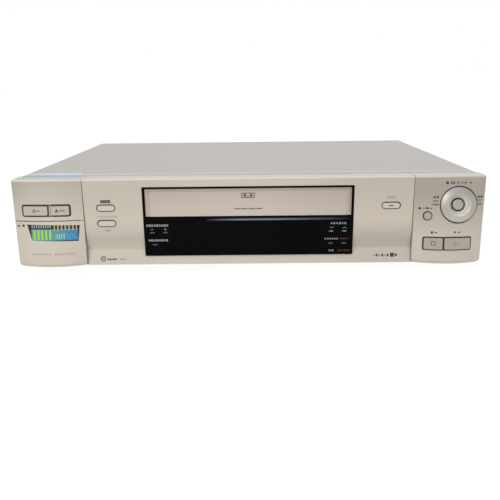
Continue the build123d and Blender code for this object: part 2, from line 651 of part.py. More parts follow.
with BuildPart() as cassette_door:
    block((-DOOR_X, DOOR_X), (DOOR_FACE, DOOR_FACE + DOOR_THICK), (DOOR_BOTTOM, DOOR_TOP))
    field_x = DOOR_X - DOOR_FIELD_INSET
    block((-field_x, field_x), (DOOR_FACE - DOOR_RAISE, DOOR_FACE), (DOOR_BOTTOM, DOOR_TOP - DOOR_FIELD_TOP))
    for side in (LEFT, RIGHT):
        ear = mirrored(DOOR_X - DOOR_EAR, DOOR_X, side)
        ear_y = (DOOR_AXIS_Y - EAR_HALF, DOOR_AXIS_Y + EAR_HALF)
        block(ear, ear_y, (DOOR_TOP - EAR_ROOT, DOOR_AXIS_Z + EAR_HALF))
        block(ear, (DOOR_FACE + DOOR_THICK / 2, ear_y[1]), (DOOR_TOP - EAR_ROOT, DOOR_TOP))
        rod(
            PIN_RADIUS,
            (side * (DOOR_X - DOOR_EAR - PIN_INNER), DOOR_AXIS_Y, DOOR_AXIS_Z),
            (side * (DOOR_OPENING_WIDTH / 2 + BOSS_WALL - SEAT_GAP), DOOR_AXIS_Y, DOOR_AXIS_Z),
        )
save(cassette_door, "cassette_door")

SPRING_WIRE = 0.3
SPRING_COILS = 6
SPRING_PITCH = 1.8 * SPRING_WIRE    # under two wires, so the coils are one body
SPRING_RADIUS = PIN_RADIUS + 0.5
SPRING_GAP = 0.8            # between the coils and the door's ear
with BuildPart() as door_spring:
    spring_x = -(DOOR_X - DOOR_EAR - SPRING_GAP)
    coil_xs = [spring_x + SPRING_PITCH * turn for turn in range(SPRING_COILS)]
    with Locations([(x, DOOR_AXIS_Y, DOOR_AXIS_Z) for x in coil_xs]):
        Torus(SPRING_RADIUS, SPRING_WIRE, rotation=(0, 90, 0))
    leg_y = DOOR_AXIS_Y + SPRING_RADIUS
    leg_top = PANEL_TOP - WALL - SEAT_GAP
    rod(SPRING_WIRE, (spring_x, leg_y, DOOR_AXIS_Z - SPRING_WIRE), (spring_x, leg_y, leg_top))
save(door_spring, "door_spring")


# ---- Buttons and keys ----------------------------------------------------------------------------
def make_button(label, opening, side=None):
    """Cap that follows the face round it, standing a little proud, with a stem towards its switch."""
    shape, x, z, width, height = opening
    with BuildPart() as button:
        if side is None:
            block((x - width, x + width), (FRONT_Y - BUTTON_PROUD, BUTTON_BACK), (z - height, z + height))
        else:
            cheek_solid(side, PANEL_TOP, BELLY_Z, BUTTON_PROUD, back=BUTTON_BACK)
        punch(outline(*opening, grow=-BUTTON_GAP), BUTTON_BACK + 1, mode=Mode.INTERSECT)
        rod(STEM_RADIUS, (x, BUTTON_BACK - 1, z), (x, SWITCH_FACE - STEM_GAP, z))
    save(button, label)


for label, opening in CENTRE_BUTTONS.items():
    make_button(label, opening)
for label, opening in LEFT_BUTTONS.items():
    make_button(label, opening, LEFT)
for label, opening in RIGHT_BUTTONS.items():
    make_button(label, opening, RIGHT)

RING_SECTION = Plane(origin=RING_PLANE.origin, x_dir=RING_PLANE.x_dir, z_dir=-RING_PLANE.y_dir)
RING_AXIS = Axis(RING_PLANE.origin, RING_PLANE.z_dir)
RING_RADIUS = RING_HOLE - BUTTON_GAP
RING_SWITCH = 10.0          # switches either side of the ring's centre
RING_STEMS = SWITCH_FACE - STEM_GAP - RING_PLANE.origin.Y
with BuildPart() as shuttle_ring:
    with BuildSketch(RING_SECTION):
        with BuildLine():
            funnel = (PAUSE_HOLE, -PAUSE_SINK - 1.4)
            ridge = (RING_RIDGE, RING_RIDGE_PROUD)
            inner_ridge = (RING_RIDGE - 1.6, RING_RIDGE_PROUD / 2)
            slope = (0.45 * RING_RIDGE + 0.55 * RING_RADIUS, 0.6 * RING_RIDGE_PROUD)
            Polyline(funnel, (PAUSE_HOLE, -RING_DEPTH), (RING_RADIUS, -RING_DEPTH), (RING_RADIUS, 0))
            ThreePointArc((RING_RADIUS, 0), slope, ridge)
            ThreePointArc(ridge, (RING_RIDGE - 1, 0.86 * RING_RIDGE_PROUD), inner_ridge)
            Line(inner_ridge, funnel)
        make_face()
    revolve(axis=RING_AXIS)
    for side in (LEFT, RIGHT):
        with BuildSketch(RING_PLANE.offset(-RING_DEPTH)):
            with Locations((side * RING_SWITCH, 0)):
                Circle(STEM_RADIUS)
        extrude(amount=RING_DEPTH - RING_STEMS)
save(shuttle_ring, "shuttle_ring")

PAUSE_LENGTH = 7.0
with BuildPart() as pause_button:
    with BuildSketch(RING_PLANE.offset(-PAUSE_SINK)):
        Circle(PAUSE_HOLE - BUTTON_GAP)
    extrude(amount=-PAUSE_LENGTH)
    fillet(pause_button.edges().sort_by(Axis.Y)[0], 1.0)
    with BuildSketch(RING_PLANE.offset(-PAUSE_SINK - PAUSE_LENGTH)):
        Circle(STEM_RADIUS)
    extrude(amount=PAUSE_SINK + PAUSE_LENGTH - RING_STEMS)
save(pause_button, "pause_button")

KEY_BAR = 2.0
KEY_BAR_HALF = 1.6
KEY_BAR_SIDE = 3.6
KEY_BAR_GAP = 0.9
KEY_BAR_Y = (WINDOW_BACK + KEY_BAR_GAP, WINDOW_BACK + KEY_BAR_GAP + KEY_BAR)


def key_tip(x, z):
    """Tip of a small key through its slot in the window, with its stem."""
    punch(outline("pill", x, z, KEY_WIDTH, KEY_HEIGHT), KEY_BAR_Y[0], mode=Mode.ADD)
    ahead_y = (AHEAD, WINDOW_FACE - BUTTON_PROUD / 2)
    block((x - KEY_WIDTH, x + KEY_WIDTH), ahead_y, (z - KEY_WIDTH, z + KEY_WIDTH), Mode.SUBTRACT)
    rod(KEY_HEIGHT / 2, (x, KEY_BAR_Y[0], z), (x, SWITCH_FACE - STEM_GAP, z))


for label, x in ROCKERS.items():
    with BuildPart() as rocker:
        for tip in (x - KEY_PITCH / 2, x + KEY_PITCH / 2):
            key_tip(tip, UPPER_KEY_Z)
        reach = KEY_PITCH / 2 + KEY_WIDTH / 2
        block((x - reach, x + reach), KEY_BAR_Y, (UPPER_KEY_Z - KEY_BAR_HALF, UPPER_KEY_Z + KEY_BAR_HALF))
    save(rocker, label)
for label, x in SINGLE_KEYS.items():
    with BuildPart() as key:
        key_tip(x, LOWER_KEY_Z)
        bar_z = (LOWER_KEY_Z - KEY_BAR_HALF, LOWER_KEY_Z + KEY_BAR_HALF)
        block((x - KEY_BAR_SIDE, x + KEY_BAR_SIDE), KEY_BAR_Y, bar_z)
    save(key, label)

# ---- Boards and sockets of the front -------------------------------------------------------------
DISPLAY_Z = (WINDOW_BOTTOM + 9.0, DOOR_OPENING_BOTTOM - 6.5)
DISPLAY_X = 45.0
DISPLAY_THICK = 6.0
DISPLAY_STAND = 2.0         # gap between the tube and its board, and height of the tube's pin rows
DISPLAY_FRONT = BOARD_FACE - DISPLAY_STAND - DISPLAY_THICK
CENTRE_BOARD_X = PANEL_X - WALL - SEAT_GAP
CENTRE_BOARD_TOP = DOOR_OPENING_BOTTOM - 3.0
CENTRE_BOARD_ARM = FRAME_X + 1.0
PANEL_FLOOR = PANEL_BOTTOM + WALL
BOARD_CEILING = PANEL_TOP - WALL - SEAT_GAP
board_y = (BOARD_FACE, BOARD_FACE + BOARD_THICK)


def switches(points):
    """Tact switches on the front of a board."""
    for x, z in points:
        half = SWITCH_SIZE / 2
        block((x - half, x + half), (SWITCH_FACE, BOARD_FACE), (z - half, z + half))


with BuildPart() as front_boards:
    block((-CENTRE_BOARD_X, CENTRE_BOARD_X), board_y, (PANEL_FLOOR + SEAT_GAP, CENTRE_BOARD_TOP))
    for side in (LEFT, RIGHT):
        arm = mirrored(CENTRE_BOARD_ARM, CENTRE_BOARD_X, side)
        block(arm, board_y, (CENTRE_BOARD_TOP, BOARD_CEILING))
    side_board = (INNER_SEAM_X + SEAT_GAP, INNER_SIDE_X - SEAT_GAP)
    block((-side_board[1], -side_board[0]), board_y, (FLAP_CUT_TOP + WALL + SEAT_GAP, BOARD_CEILING))
    block(side_board, board_y, (CHEEK_FLOOR + SEAT_GAP, BOARD_CEILING))
    for group in (CENTRE_BUTTONS, LEFT_BUTTONS, RIGHT_BUTTONS):
        switches([(x, z) for _, x, z, _, _ in group.values()])
    switches([(x + side * KEY_PITCH / 2, UPPER_KEY_Z) for x in ROCKERS.values() for side in (LEFT, RIGHT)])
    switches([(x, LOWER_KEY_Z) for x in SINGLE_KEYS.values()])
    ring_drop = (SWITCH_FACE - RING_PLANE.origin.Y) * sin(RING_SLOPE)
    switches([(RING_X + offset, RING_Z - ring_drop) for offset in (-RING_SWITCH, 0, RING_SWITCH)])
save(front_boards, "front_boards")

with BuildPart() as display_tube:
    block((-DISPLAY_X, DISPLAY_X), (DISPLAY_FRONT, DISPLAY_FRONT + DISPLAY_THICK), DISPLAY_Z)
    fillet(display_tube.faces().sort_by(Axis.Y)[0].edges(), DISPLAY_STAND / 2)
    pins_x = (DISPLAY_STAND - DISPLAY_X, DISPLAY_X - DISPLAY_STAND)
    pins_y = (BOARD_FACE - DISPLAY_STAND, BOARD_FACE)
    for low in (DISPLAY_Z[0] + DISPLAY_STAND / 2, DISPLAY_Z[1] - 1.5 * DISPLAY_STAND):
        block(pins_x, pins_y, (low, low + DISPLAY_STAND))
save(display_tube, "display_tube")


def socket(x, z, base_y, tip_y):
    """Phono socket: metal shell round a bore, along Y, from its block to its open tip."""
    seat_y = base_y + SHELL_SEAT * (1 if tip_y > base_y else -1)
    rod(JACK_SHELL, (x, seat_y, z), (x, tip_y, z))
    rod(JACK_SOCKET, (x, seat_y, z), (x, tip_y, z), mode=Mode.SUBTRACT)


with BuildPart() as front_sockets:
    # plate that closes the back of the jack recess, and the block behind it
    block(
        (SEAT_GAP - INNER_SIDE_X, -INNER_SEAM_X - SEAT_GAP),
        (JACK_PLATE_FACE, JACK_PLATE_BACK),
        (CHEEK_FLOOR + SEAT_GAP, FLAP_CUT_TOP - SEAT_GAP),
    )
    block(
        (min(JACK_XS) - JACK_BLOCK_MARGIN, max(JACK_XS) + JACK_BLOCK_MARGIN),
        (JACK_PLATE_BACK, LEDGE_BACK),
        (CHEEK_FLOOR + SEAT_GAP, JACK_Z + JACK_BLOCK_MARGIN),
    )
    for x in JACK_XS:
        socket(x, JACK_Z, JACK_PLATE_FACE, JACK_PLATE_FACE - JACK_LENGTH)
save(front_sockets, "front_sockets")

# ---- Sheet-metal case ----------------------------------------------------------------------------
COVER_SCREW_YS = (-60.0, 100.0)
COVER_SCREW_Z = 17.0
REAR_SCREW_XS = (63.1 - TRAY_X, 0.0, TRAY_X - 8.1)
REAR_SCREW_Z = CASE_HEIGHT - 8.0
DECK_POSTS = [(side * POST_X, y) for side in (LEFT, RIGHT) for y in POST_YS]
FLANGE_TOP = FOOT_HEIGHT + TRAY_FLANGE
TRAY_FRONT = LEDGE_BACK + 0.8


def cover_profile(outer_x, top, bend):
    """Front view of the cover's outline, rounded along its two long edges."""
    with BuildSketch(facing(COVER_FRONT)) as profile:
        with Locations((0, (top + SKIRT_BOTTOM) / 2)):
            Rectangle(2 * outer_x, top - SKIRT_BOTTOM)
        fillet(profile.vertices().group_by(Axis.Y)[-1], bend)
    return profile.sketch


with BuildPart() as top_cover:
    extrude(cover_profile(COVER_X, CASE_HEIGHT, COVER_BEND), amount=COVER_FRONT - REAR_Y)
    inner = cover_profile(COVER_INNER_X, COVER_INNER_TOP, COVER_BEND - SHEET)
    extrude(inner, amount=COVER_FRONT - REAR_Y, mode=Mode.SUBTRACT)
    for side in (LEFT, RIGHT):
        for y in COVER_SCREW_YS:
            start, end = mirrored(COVER_INNER_X - 1, COVER_X + 1, side)
            rod(SCREW_RADIUS + FIT_GAP, (start, y, COVER_SCREW_Z), (end, y, COVER_SCREW_Z), Mode.SUBTRACT)
save(top_cover, "top_cover")

VENT_LENGTH = 28.0
VENT_WIDTH = 3.0
VENT_PITCH = 7.0
VENT_Y = DECK_Y + 20.0
VENT_CENTRES = ((POWER_LEFT + 46.0, POWER_FRONT + 50.0), (0.0, VENT_Y), (MAIN_RIGHT - 58.0, VENT_Y))
REAR_VENT_CENTRE = (-40.0, CASE_HEIGHT / 2 + 5.0)
with BuildPart() as chassis_tray:
    block((-TRAY_X, TRAY_X), (TRAY_FRONT, REAR_INNER), (FOOT_HEIGHT, TRAY_TOP))
    for side in (LEFT, RIGHT):
        flange = mirrored(TRAY_X - TRAY_SHEET, TRAY_X, side)
        block(flange, (TRAY_FRONT, REAR_INNER), (FOOT_HEIGHT, FLANGE_TOP))
    block((-TRAY_X, TRAY_X), (TRAY_FRONT, TRAY_FRONT + TRAY_SHEET), (FOOT_HEIGHT, FLANGE_TOP))
    block((-TRAY_X, TRAY_X), (REAR_INNER - TRAY_SHEET, REAR_INNER), (FOOT_HEIGHT, BOARD_Z - 1))
    for x, y in DECK_POSTS:
        tube(POST_RADIUS, SCREW_RADIUS, (x, y), TRAY_TOP, DECK_Z)
    for x, y in MAIN_STUDS + STRIP_STUDS + POWER_STUDS:
        rod(STUD_RADIUS, (x, y, TRAY_TOP), (x, y, BOARD_Z))
    for centre in VENT_CENTRES:
        with BuildSketch(Plane.XY.offset(FOOT_HEIGHT)) as vents:
            with Locations(centre):
                with GridLocations(VENT_LENGTH + 6, VENT_PITCH, 2, 7):
                    SlotOverall(VENT_LENGTH, VENT_WIDTH)
        extrude(vents.sketch, amount=TRAY_SHEET, mode=Mode.SUBTRACT)
    for side in (LEFT, RIGHT):
        for y in COVER_SCREW_YS:
            start, end = mirrored(TRAY_X - 2 * TRAY_SHEET, TRAY_X + TRAY_SHEET, side)
            rod(SCREW_RADIUS, (start, y, COVER_SCREW_Z), (end, y, COVER_SCREW_Z), Mode.SUBTRACT)
save(chassis_tray, "chassis_tray")

SOCKETS = [(SOCKET_BLOCK_X + side * SOCKET_DX, z) for side in (LEFT, RIGHT) for z in SOCKET_ZS]
INLET_BODY = (INLET_LENGTH + 2 * INLET_WALL, INLET_HEIGHT + 2 * INLET_WALL)
with BuildPart() as rear_panel:
    panel_z = (SKIRT_BOTTOM, COVER_INNER_TOP - SEAT_GAP)
    block((-TRAY_X, TRAY_X), (REAR_Y - REAR_SHEET, REAR_Y), panel_z)
    top_corners = rear_panel.edges().filter_by(Axis.Y).group_by(Axis.Z)[-1]
    fillet(top_corners, COVER_BEND - SHEET)
    with BuildSketch(facing(REAR_Y)) as cuts:
        with Locations(*[(x, z) for x, z in SOCKETS]):
            Circle(JACK_SHELL + 0.5)
        with Locations(*[(TUNER_X, z) for z in AERIAL_ZS]):
            Circle(AERIAL_RADIUS + 0.5)
        with Locations((INLET_X, INLET_Z)):
            Rectangle(INLET_BODY[0] + 2 * FIT_GAP, INLET_BODY[1] + 2 * FIT_GAP)
        with Locations(REAR_VENT_CENTRE):
            with GridLocations(VENT_LENGTH + 6, VENT_PITCH, 4, 6):
                SlotOverall(VENT_LENGTH, VENT_WIDTH)
        with Locations(*[(x, REAR_SCREW_Z) for x in REAR_SCREW_XS]):
            Circle(SCREW_RADIUS + FIT_GAP)
    extrude(cuts.sketch, amount=-REAR_SHEET, both=True, mode=Mode.SUBTRACT)
save(rear_panel, "rear_panel")

with BuildPart() as rubber_feet:
    with Locations(*[(sx * FOOT_X, sy * FOOT_Y, 0) for sx in (LEFT, RIGHT) for sy in (LEFT, RIGHT)]):
        Cone(FOOT_RADIUS - 1, FOOT_RADIUS, FOOT_HEIGHT, align=(Align.CENTER, Align.CENTER, Align.MIN))
        with Locations((0, 0, 0)):
            Cylinder(4.0, 4.0, align=(Align.CENTER, Align.CENTER, Align.MIN), mode=Mode.SUBTRACT)
save(rubber_feet, "rubber_feet")

HEAD_THICK = COVER_OVERHANG
with BuildPart() as screws:
    for side in (LEFT, RIGHT):
        for y in COVER_SCREW_YS:
            head = (side * COVER_X, y, COVER_SCREW_Z)
            rod(SCREW_HEAD + 1, head, (side * (COVER_X + HEAD_THICK), y, COVER_SCREW_Z))
            rod(SCREW_RADIUS, head, (side * (TRAY_X - 5), y, COVER_SCREW_Z))
    for x in REAR_SCREW_XS:
        rod(SCREW_HEAD, (x, REAR_Y, REAR_SCREW_Z), (x, REAR_Y + SCREW_HEAD_HEIGHT, REAR_SCREW_Z))
        rod(SCREW_RADIUS, (x, REAR_Y - 6, REAR_SCREW_Z), (x, REAR_Y, REAR_SCREW_Z))
    for x, y in DECK_POSTS:
        rod(SCREW_HEAD, (x, y, DECK_TOP), (x, y, DECK_TOP + SCREW_HEAD_HEIGHT))
        rod(SCREW_RADIUS, (x, y, DECK_Z - 8), (x, y, DECK_TOP))
save(screws, "screws")

# ---- Electronics ---------------------------------------------------------------------------------
with BuildPart() as main_board:
    block((MAIN_LEFT, MAIN_RIGHT), (MAIN_FRONT, MAIN_BACK), (BOARD_Z, BOARD_TOP))
    block((MAIN_STRIP_LEFT, MAIN_LEFT), (MAIN_STRIP_FRONT, MAIN_BACK), (BOARD_Z, BOARD_TOP))
save(main_board, "main_board")

with BuildPart() as power_board:
    block((POWER_LEFT, POWER_RIGHT), (POWER_FRONT, POWER_BACK), (BOARD_Z, BOARD_TOP))
save(power_board, "power_board")

CORE_HALF = (23.0, 10.0)
CORE_HEIGHT = 38.0
WINDING_HALF = (14.0, 18.0)
WINDING_RISE = 8.0
WINDING_HEIGHT = 22.0
WINDING_EDGE = 3.0
with BuildPart() as transformer:
    x, y = (POWER_LEFT + 30, POWER_FRONT + 28)
    core_z = (BOARD_TOP, BOARD_TOP + CORE_HEIGHT)
    winding_z = (BOARD_TOP + WINDING_RISE, BOARD_TOP + WINDING_RISE + WINDING_HEIGHT)
    for (half_x, half_y), z_range in ((CORE_HALF, core_z), (WINDING_HALF, winding_z)):
        block((x - half_x, x + half_x), (y - half_y, y + half_y), z_range)
    fillet(transformer.edges().filter_by(Axis.X).group_by(Axis.Y)[-1], WINDING_EDGE)
save(transformer, "transformer")

# in from a corner of the board, then radius or plan size, then height
POWER_CAPACITORS = ((16, 38, 11, 32), (16, 14, 8, 25), (38, 16, 5, 18), (54, 16, 5, 18))
MAIN_CAPACITORS = ((12, 216, 5, 12), (26, 216, 5, 12), (36, 68, 4, 10))
STRIP_CAPACITORS = ((90, 25, 6, 14), (108, 25, 6, 14))
CHIPS = ((38, 48, 42, 16), (48, 108, 36, 18), (43, 163, 28, 28))
STRIP_CHIP = (40, 28, 36, 14)
CHIP_HEIGHT = 4.0


def capacitor(x, y, radius, height):
    """Upright capacitor on a board, in the current part."""
    rod(radius, (x, y, BOARD_TOP), (x, y, BOARD_TOP + height))


def chip(x, y, length, width):
    """Flat chip on a board, in the current part."""
    x_range, y_range = (x - length / 2, x + length / 2), (y - width / 2, y + width / 2)
    block(x_range, y_range, (BOARD_TOP, BOARD_TOP + CHIP_HEIGHT))


with BuildPart() as board_components:
    for x, y, radius, height in POWER_CAPACITORS:
        capacitor(POWER_RIGHT - x, POWER_BACK - y, radius, height)
    for x, y, radius, height in MAIN_CAPACITORS:
        capacitor(MAIN_LEFT + x, MAIN_FRONT + y, radius, height)
    for x, y, radius, height in STRIP_CAPACITORS:
        capacitor(MAIN_STRIP_LEFT + x, MAIN_BACK - y, radius, height)
    for x, y, length, width in CHIPS:
        chip(MAIN_RIGHT - x, MAIN_FRONT + y, length, width)
    x, y, length, width = STRIP_CHIP
    chip(MAIN_STRIP_LEFT + x, MAIN_BACK - y, length, width)
save(board_components, "board_components")

with BuildPart() as tuner_module:
    # folded can, open underneath, over its board
    tuner_x = (TUNER_X - TUNER_WIDTH / 2, TUNER_X + TUNER_WIDTH / 2)
    tuner_y = (REAR_INNER - TUNER_DEPTH, REAR_INNER)
    tuner_top = BOARD_TOP + TUNER_HEIGHT
    block(tuner_x, tuner_y, (BOARD_TOP, tuner_top))
    inner_x, inner_y = [(low + TUNER_SHEET, high - TUNER_SHEET) for low, high in (tuner_x, tuner_y)]
    block(inner_x, inner_y, (BOARD_TOP, tuner_top - TUNER_SHEET), Mode.SUBTRACT)
    # threaded aerial connectors, each with its nut outside the rear panel
    nut_y = (REAR_Y + SEAT_GAP, REAR_Y + SEAT_GAP + AERIAL_NUT_THICK)
    for z in AERIAL_ZS:
        rod(AERIAL_RADIUS, (TUNER_X, REAR_INNER - TUNER_SHEET, z), (TUNER_X, nut_y[1] + AERIAL_LENGTH, z))
        with BuildSketch(facing(nut_y[1])) as nut:
            with Locations((TUNER_X, z)):
                RegularPolygon(AERIAL_NUT, 6, major_radius=False)
        extrude(nut.sketch, amount=nut_y[1] - nut_y[0])
        rod(AERIAL_BORE, (TUNER_X, nut_y[1], z), (TUNER_X, nut_y[1] + AERIAL_LENGTH, z), Mode.SUBTRACT)
save(tuner_module, "tuner_module")

with BuildPart() as rear_sockets:
    half = SOCKET_BLOCK_WIDTH / 2
    block(
        (SOCKET_BLOCK_X - half, SOCKET_BLOCK_X + half),
        (REAR_INNER - SOCKET_BLOCK_DEPTH, REAR_INNER),
        (BOARD_TOP, BOARD_TOP + SOCKET_BLOCK_HEIGHT),
    )
    for x, z in SOCKETS:
        socket(x, z, REAR_INNER, REAR_Y + JACK_LENGTH)
save(rear_sockets, "rear_sockets")

with BuildPart() as mains_inlet:
    body_y = (REAR_Y - INLET_BODY_DEPTH, REAR_Y)
    rim_y = (REAR_Y, REAR_Y + INLET_RIM_THICK)
    for (depth_range, rim) in ((body_y, 0.0), (rim_y, INLET_RIM)):
        half_x, half_z = [size / 2 + rim for size in INLET_BODY]
        block((INLET_X - half_x, INLET_X + half_x), depth_range, (INLET_Z - half_z, INLET_Z + half_z))
    with BuildSketch(facing(REAR_Y + INLET_RIM_THICK)) as recess:
        with Locations((INLET_X, INLET_Z)):
            SlotOverall(INLET_LENGTH, INLET_HEIGHT)
    extrude(recess.sketch, amount=INLET_DEPTH, mode=Mode.SUBTRACT)
    for side in (LEFT, RIGHT):
        pin = (INLET_X + side * INLET_PIN_SPACING / 2, INLET_Z)
        rod(INLET_PIN, (pin[0], REAR_Y - INLET_DEPTH, pin[1]), (pin[0], REAR_Y - 2, pin[1]))
save(mains_inlet, "mains_inlet")

# ---- Tape deck -----------------------------------------------------------------------------------
GUIDE_RUN = (GUIDE_LOADED[0] - GUIDE_REST[0], GUIDE_LOADED[1] - GUIDE_REST[1])
GUIDE_TRAVEL = hypot(*GUIDE_RUN)
GUIDE_TURN = degrees(atan2(GUIDE_RUN[1], GUIDE_RUN[0]))
GUIDE_NECK = GUIDE_SLOT - 2 * PIN_PLAY
REEL_XS = (-REEL_SPACING / 2, REEL_SPACING / 2)
REEL_BORE_TOP = SPINDLE_TOP - 4
POST_TOP = ARM_Z + ARM_SLEEVE_HEIGHT + 1


def guide_slot(side):
    """Outline of the straight slot that a tape guide slides along."""
    middle = (side * (GUIDE_REST[0] + GUIDE_LOADED[0]) / 2, (GUIDE_REST[1] + GUIDE_LOADED[1]) / 2)
    turn = GUIDE_TURN if side == RIGHT else 180 - GUIDE_TURN
    with Locations(Location((*middle, 0), (0, 0, turn))):
        Rectangle(GUIDE_TRAVEL + GUIDE_BASE_LENGTH, GUIDE_SLOT)


with BuildPart() as deck_chassis:
    with BuildSketch(Plane.XY.offset(DECK_Z)):
        with Locations((0, (DECK_FRONT + DECK_BACK) / 2)):
            RectangleRounded(2 * DECK_X, DECK_BACK - DECK_FRONT, DECK_CORNER)
        for side in (LEFT, RIGHT):
            with BuildSketch(mode=Mode.PRIVATE) as slot:
                guide_slot(side)
            add(slot.sketch, mode=Mode.SUBTRACT)
        with Locations(*DECK_POSTS):
            Circle(SCREW_RADIUS, mode=Mode.SUBTRACT)
        with Locations((0, CLUTCH_Y)):
            Circle(SHAFT_RADIUS + RUNNING_GAP, mode=Mode.SUBTRACT)
        with Locations((PINION_X, PINION_Y)):
            Circle(SHAFT_RADIUS, mode=Mode.SUBTRACT)
    extrude(amount=DECK_SHEET)
    for side in (LEFT, RIGHT):
        flange = mirrored(DECK_X - DECK_SHEET, DECK_X, side)
        block(flange, (DECK_FRONT + DECK_CORNER, DECK_BACK - DECK_CORNER), (DECK_Z - DECK_RIM, DECK_TOP))
    for x in REEL_XS:
        rod(SHAFT_RADIUS, (x, REEL_Y, DECK_Z), (x, REEL_Y, REEL_BORE_TOP))
    for post in (PINCH_PIVOT, TENSION_PIVOT, (CAM_X, CAM_Y)):
        rod(ARM_POST, (*post, DECK_Z), (*post, POST_TOP))
        rod(ARM_POST + 1, (*post, DECK_Z), (*post, GEAR_Z - RUNNING_GAP))
    tube(
        BEARING_RADIUS,
        SHAFT_RADIUS + RUNNING_GAP,
        (CAPSTAN_X, CAPSTAN_Y),
        DECK_Z - BEARING_DROP,
        DECK_TOP + BEARING_RISE,
    )
save(deck_chassis, "deck_chassis")

DRUM_PLANE = Plane(
    origin=(0, DRUM_Y, DRUM_Z), x_dir=(cos(radians(DRUM_TILT)), 0, -sin(radians(DRUM_TILT))),
    z_dir=(sin(radians(DRUM_TILT)), 0, cos(radians(DRUM_TILT))),
)
with BuildPart() as lower_drum:
    rod(DRUM_BASE, (0, DRUM_Y, DECK_TOP), (0, DRUM_Y, DRUM_Z + 4))
    with BuildSketch(DRUM_PLANE):
        Circle(DRUM_RADIUS)
    extrude(amount=LOWER_DRUM)
    with BuildSketch(DRUM_PLANE.offset(3)):
        Circle(SHAFT_RADIUS + RUNNING_GAP)
    extrude(amount=LOWER_DRUM, mode=Mode.SUBTRACT)
save(lower_drum, "lower_drum")

with BuildPart() as upper_drum:
    with BuildSketch(DRUM_PLANE.offset(LOWER_DRUM + DRUM_SPLIT)):
        Circle(DRUM_RADIUS)
    extrude(amount=UPPER_DRUM)
    with BuildSketch(DRUM_PLANE.offset(LOWER_DRUM + DRUM_SPLIT + UPPER_DRUM - 3)):
        Circle(DRUM_RADIUS - 3)
        Circle(DRUM_RADIUS - 18, mode=Mode.SUBTRACT)
    extrude(amount=4, mode=Mode.SUBTRACT)
    with BuildSketch(DRUM_PLANE.offset(4)):
        Circle(SHAFT_RADIUS)
    extrude(amount=LOWER_DRUM)
save(upper_drum, "upper_drum")

with BuildPart() as capstan:
    at = (CAPSTAN_X, CAPSTAN_Y)
    rod(ROTOR_RADIUS, (*at, ROTOR_Z), (*at, PULLEY_Z))
    rod(CAPSTAN_PULLEY, (*at, PULLEY_Z), (*at, PULLEY_Z + PULLEY_THICK))
    rod(SHAFT_RADIUS, (*at, PULLEY_Z), (*at, CAPSTAN_TOP))
save(capstan, "capstan")

with BuildPart() as clutch_wheel:
    at = (0, CLUTCH_Y)
    rod(CLUTCH_RADIUS, (*at, REEL_Z), (*at, REEL_Z + REEL_THICK))
    rod(CLUTCH_PULLEY, (*at, PULLEY_Z), (*at, PULLEY_Z + PULLEY_THICK))
    rod(SHAFT_RADIUS, (*at, PULLEY_Z), (*at, REEL_Z + REEL_THICK + 5))
save(clutch_wheel, "clutch_wheel")

with BuildPart() as drive_belt:
    belt_z = PULLEY_Z + (PULLEY_THICK - BELT_HEIGHT) / 2
    for reach, mode in ((RUNNING_GAP + BELT_THICK, Mode.ADD), (RUNNING_GAP, Mode.SUBTRACT)):
        with BuildSketch(Plane.XY.offset(belt_z)) as loop:
            with Locations((CAPSTAN_X, CAPSTAN_Y)):
                Circle(CAPSTAN_PULLEY + reach)
            with Locations((0, CLUTCH_Y)):
                Circle(CLUTCH_PULLEY + reach)
            make_hull()
        extrude(loop.sketch, amount=BELT_HEIGHT, mode=mode)
save(drive_belt, "drive_belt")

for label, x in zip(("supply_reel", "takeup_reel"), REEL_XS):
    with BuildPart() as reel:
        at = (x, REEL_Y)
        rod(REEL_RADIUS, (*at, REEL_Z), (*at, REEL_Z + REEL_THICK))
        rod(REEL_HUB, (*at, REEL_Z + REEL_THICK), (*at, LOADED_BOTTOM - 1))
        rod(SPINDLE_RADIUS, (*at, LOADED_BOTTOM - 1), (*at, SPINDLE_TOP))
        with BuildSketch(Plane.XY.offset(LOADED_BOTTOM - 1)) as fins:
            with Locations(at):
                with PolarLocations(SPINDLE_RADIUS, 3):
                    Rectangle(3.0, SPINDLE_FIN)
        extrude(fins.sketch, amount=SPINDLE_TOP - LOADED_BOTTOM - 1)
        rod(SHAFT_RADIUS + RUNNING_GAP, (*at, REEL_Z), (*at, REEL_BORE_TOP + 0.5), mode=Mode.SUBTRACT)
    save(reel, label)

ARM_TOP_Z = REEL_Z + REEL_THICK + 0.6
with BuildPart() as idler_arm:
    with BuildSketch(Plane.XY.offset(ARM_TOP_Z)) as plate:
        with Locations((0, CLUTCH_Y)):
            Circle(ARM_SLEEVE)
        with Locations((0, CLUTCH_Y + IDLER_ARM)):
            Circle(3.0)
        make_hull()
    extrude(plate.sketch, amount=DECK_SHEET)
    pivot_ends = [(0, CLUTCH_Y, z) for z in (ARM_TOP_Z, ARM_TOP_Z + DECK_SHEET)]
    rod(SHAFT_RADIUS + RUNNING_GAP, *pivot_ends, mode=Mode.SUBTRACT)
    rod(PIN_RADIUS, (0, CLUTCH_Y + IDLER_ARM, REEL_Z), (0, CLUTCH_Y + IDLER_ARM, ARM_TOP_Z))
save(idler_arm, "idler_arm")

with BuildPart() as idler_wheel:
    tube(IDLER_RADIUS, PIN_RADIUS + RUNNING_GAP, (0, CLUTCH_Y + IDLER_ARM), REEL_Z, REEL_Z + REEL_THICK)
save(idler_wheel, "idler_wheel")

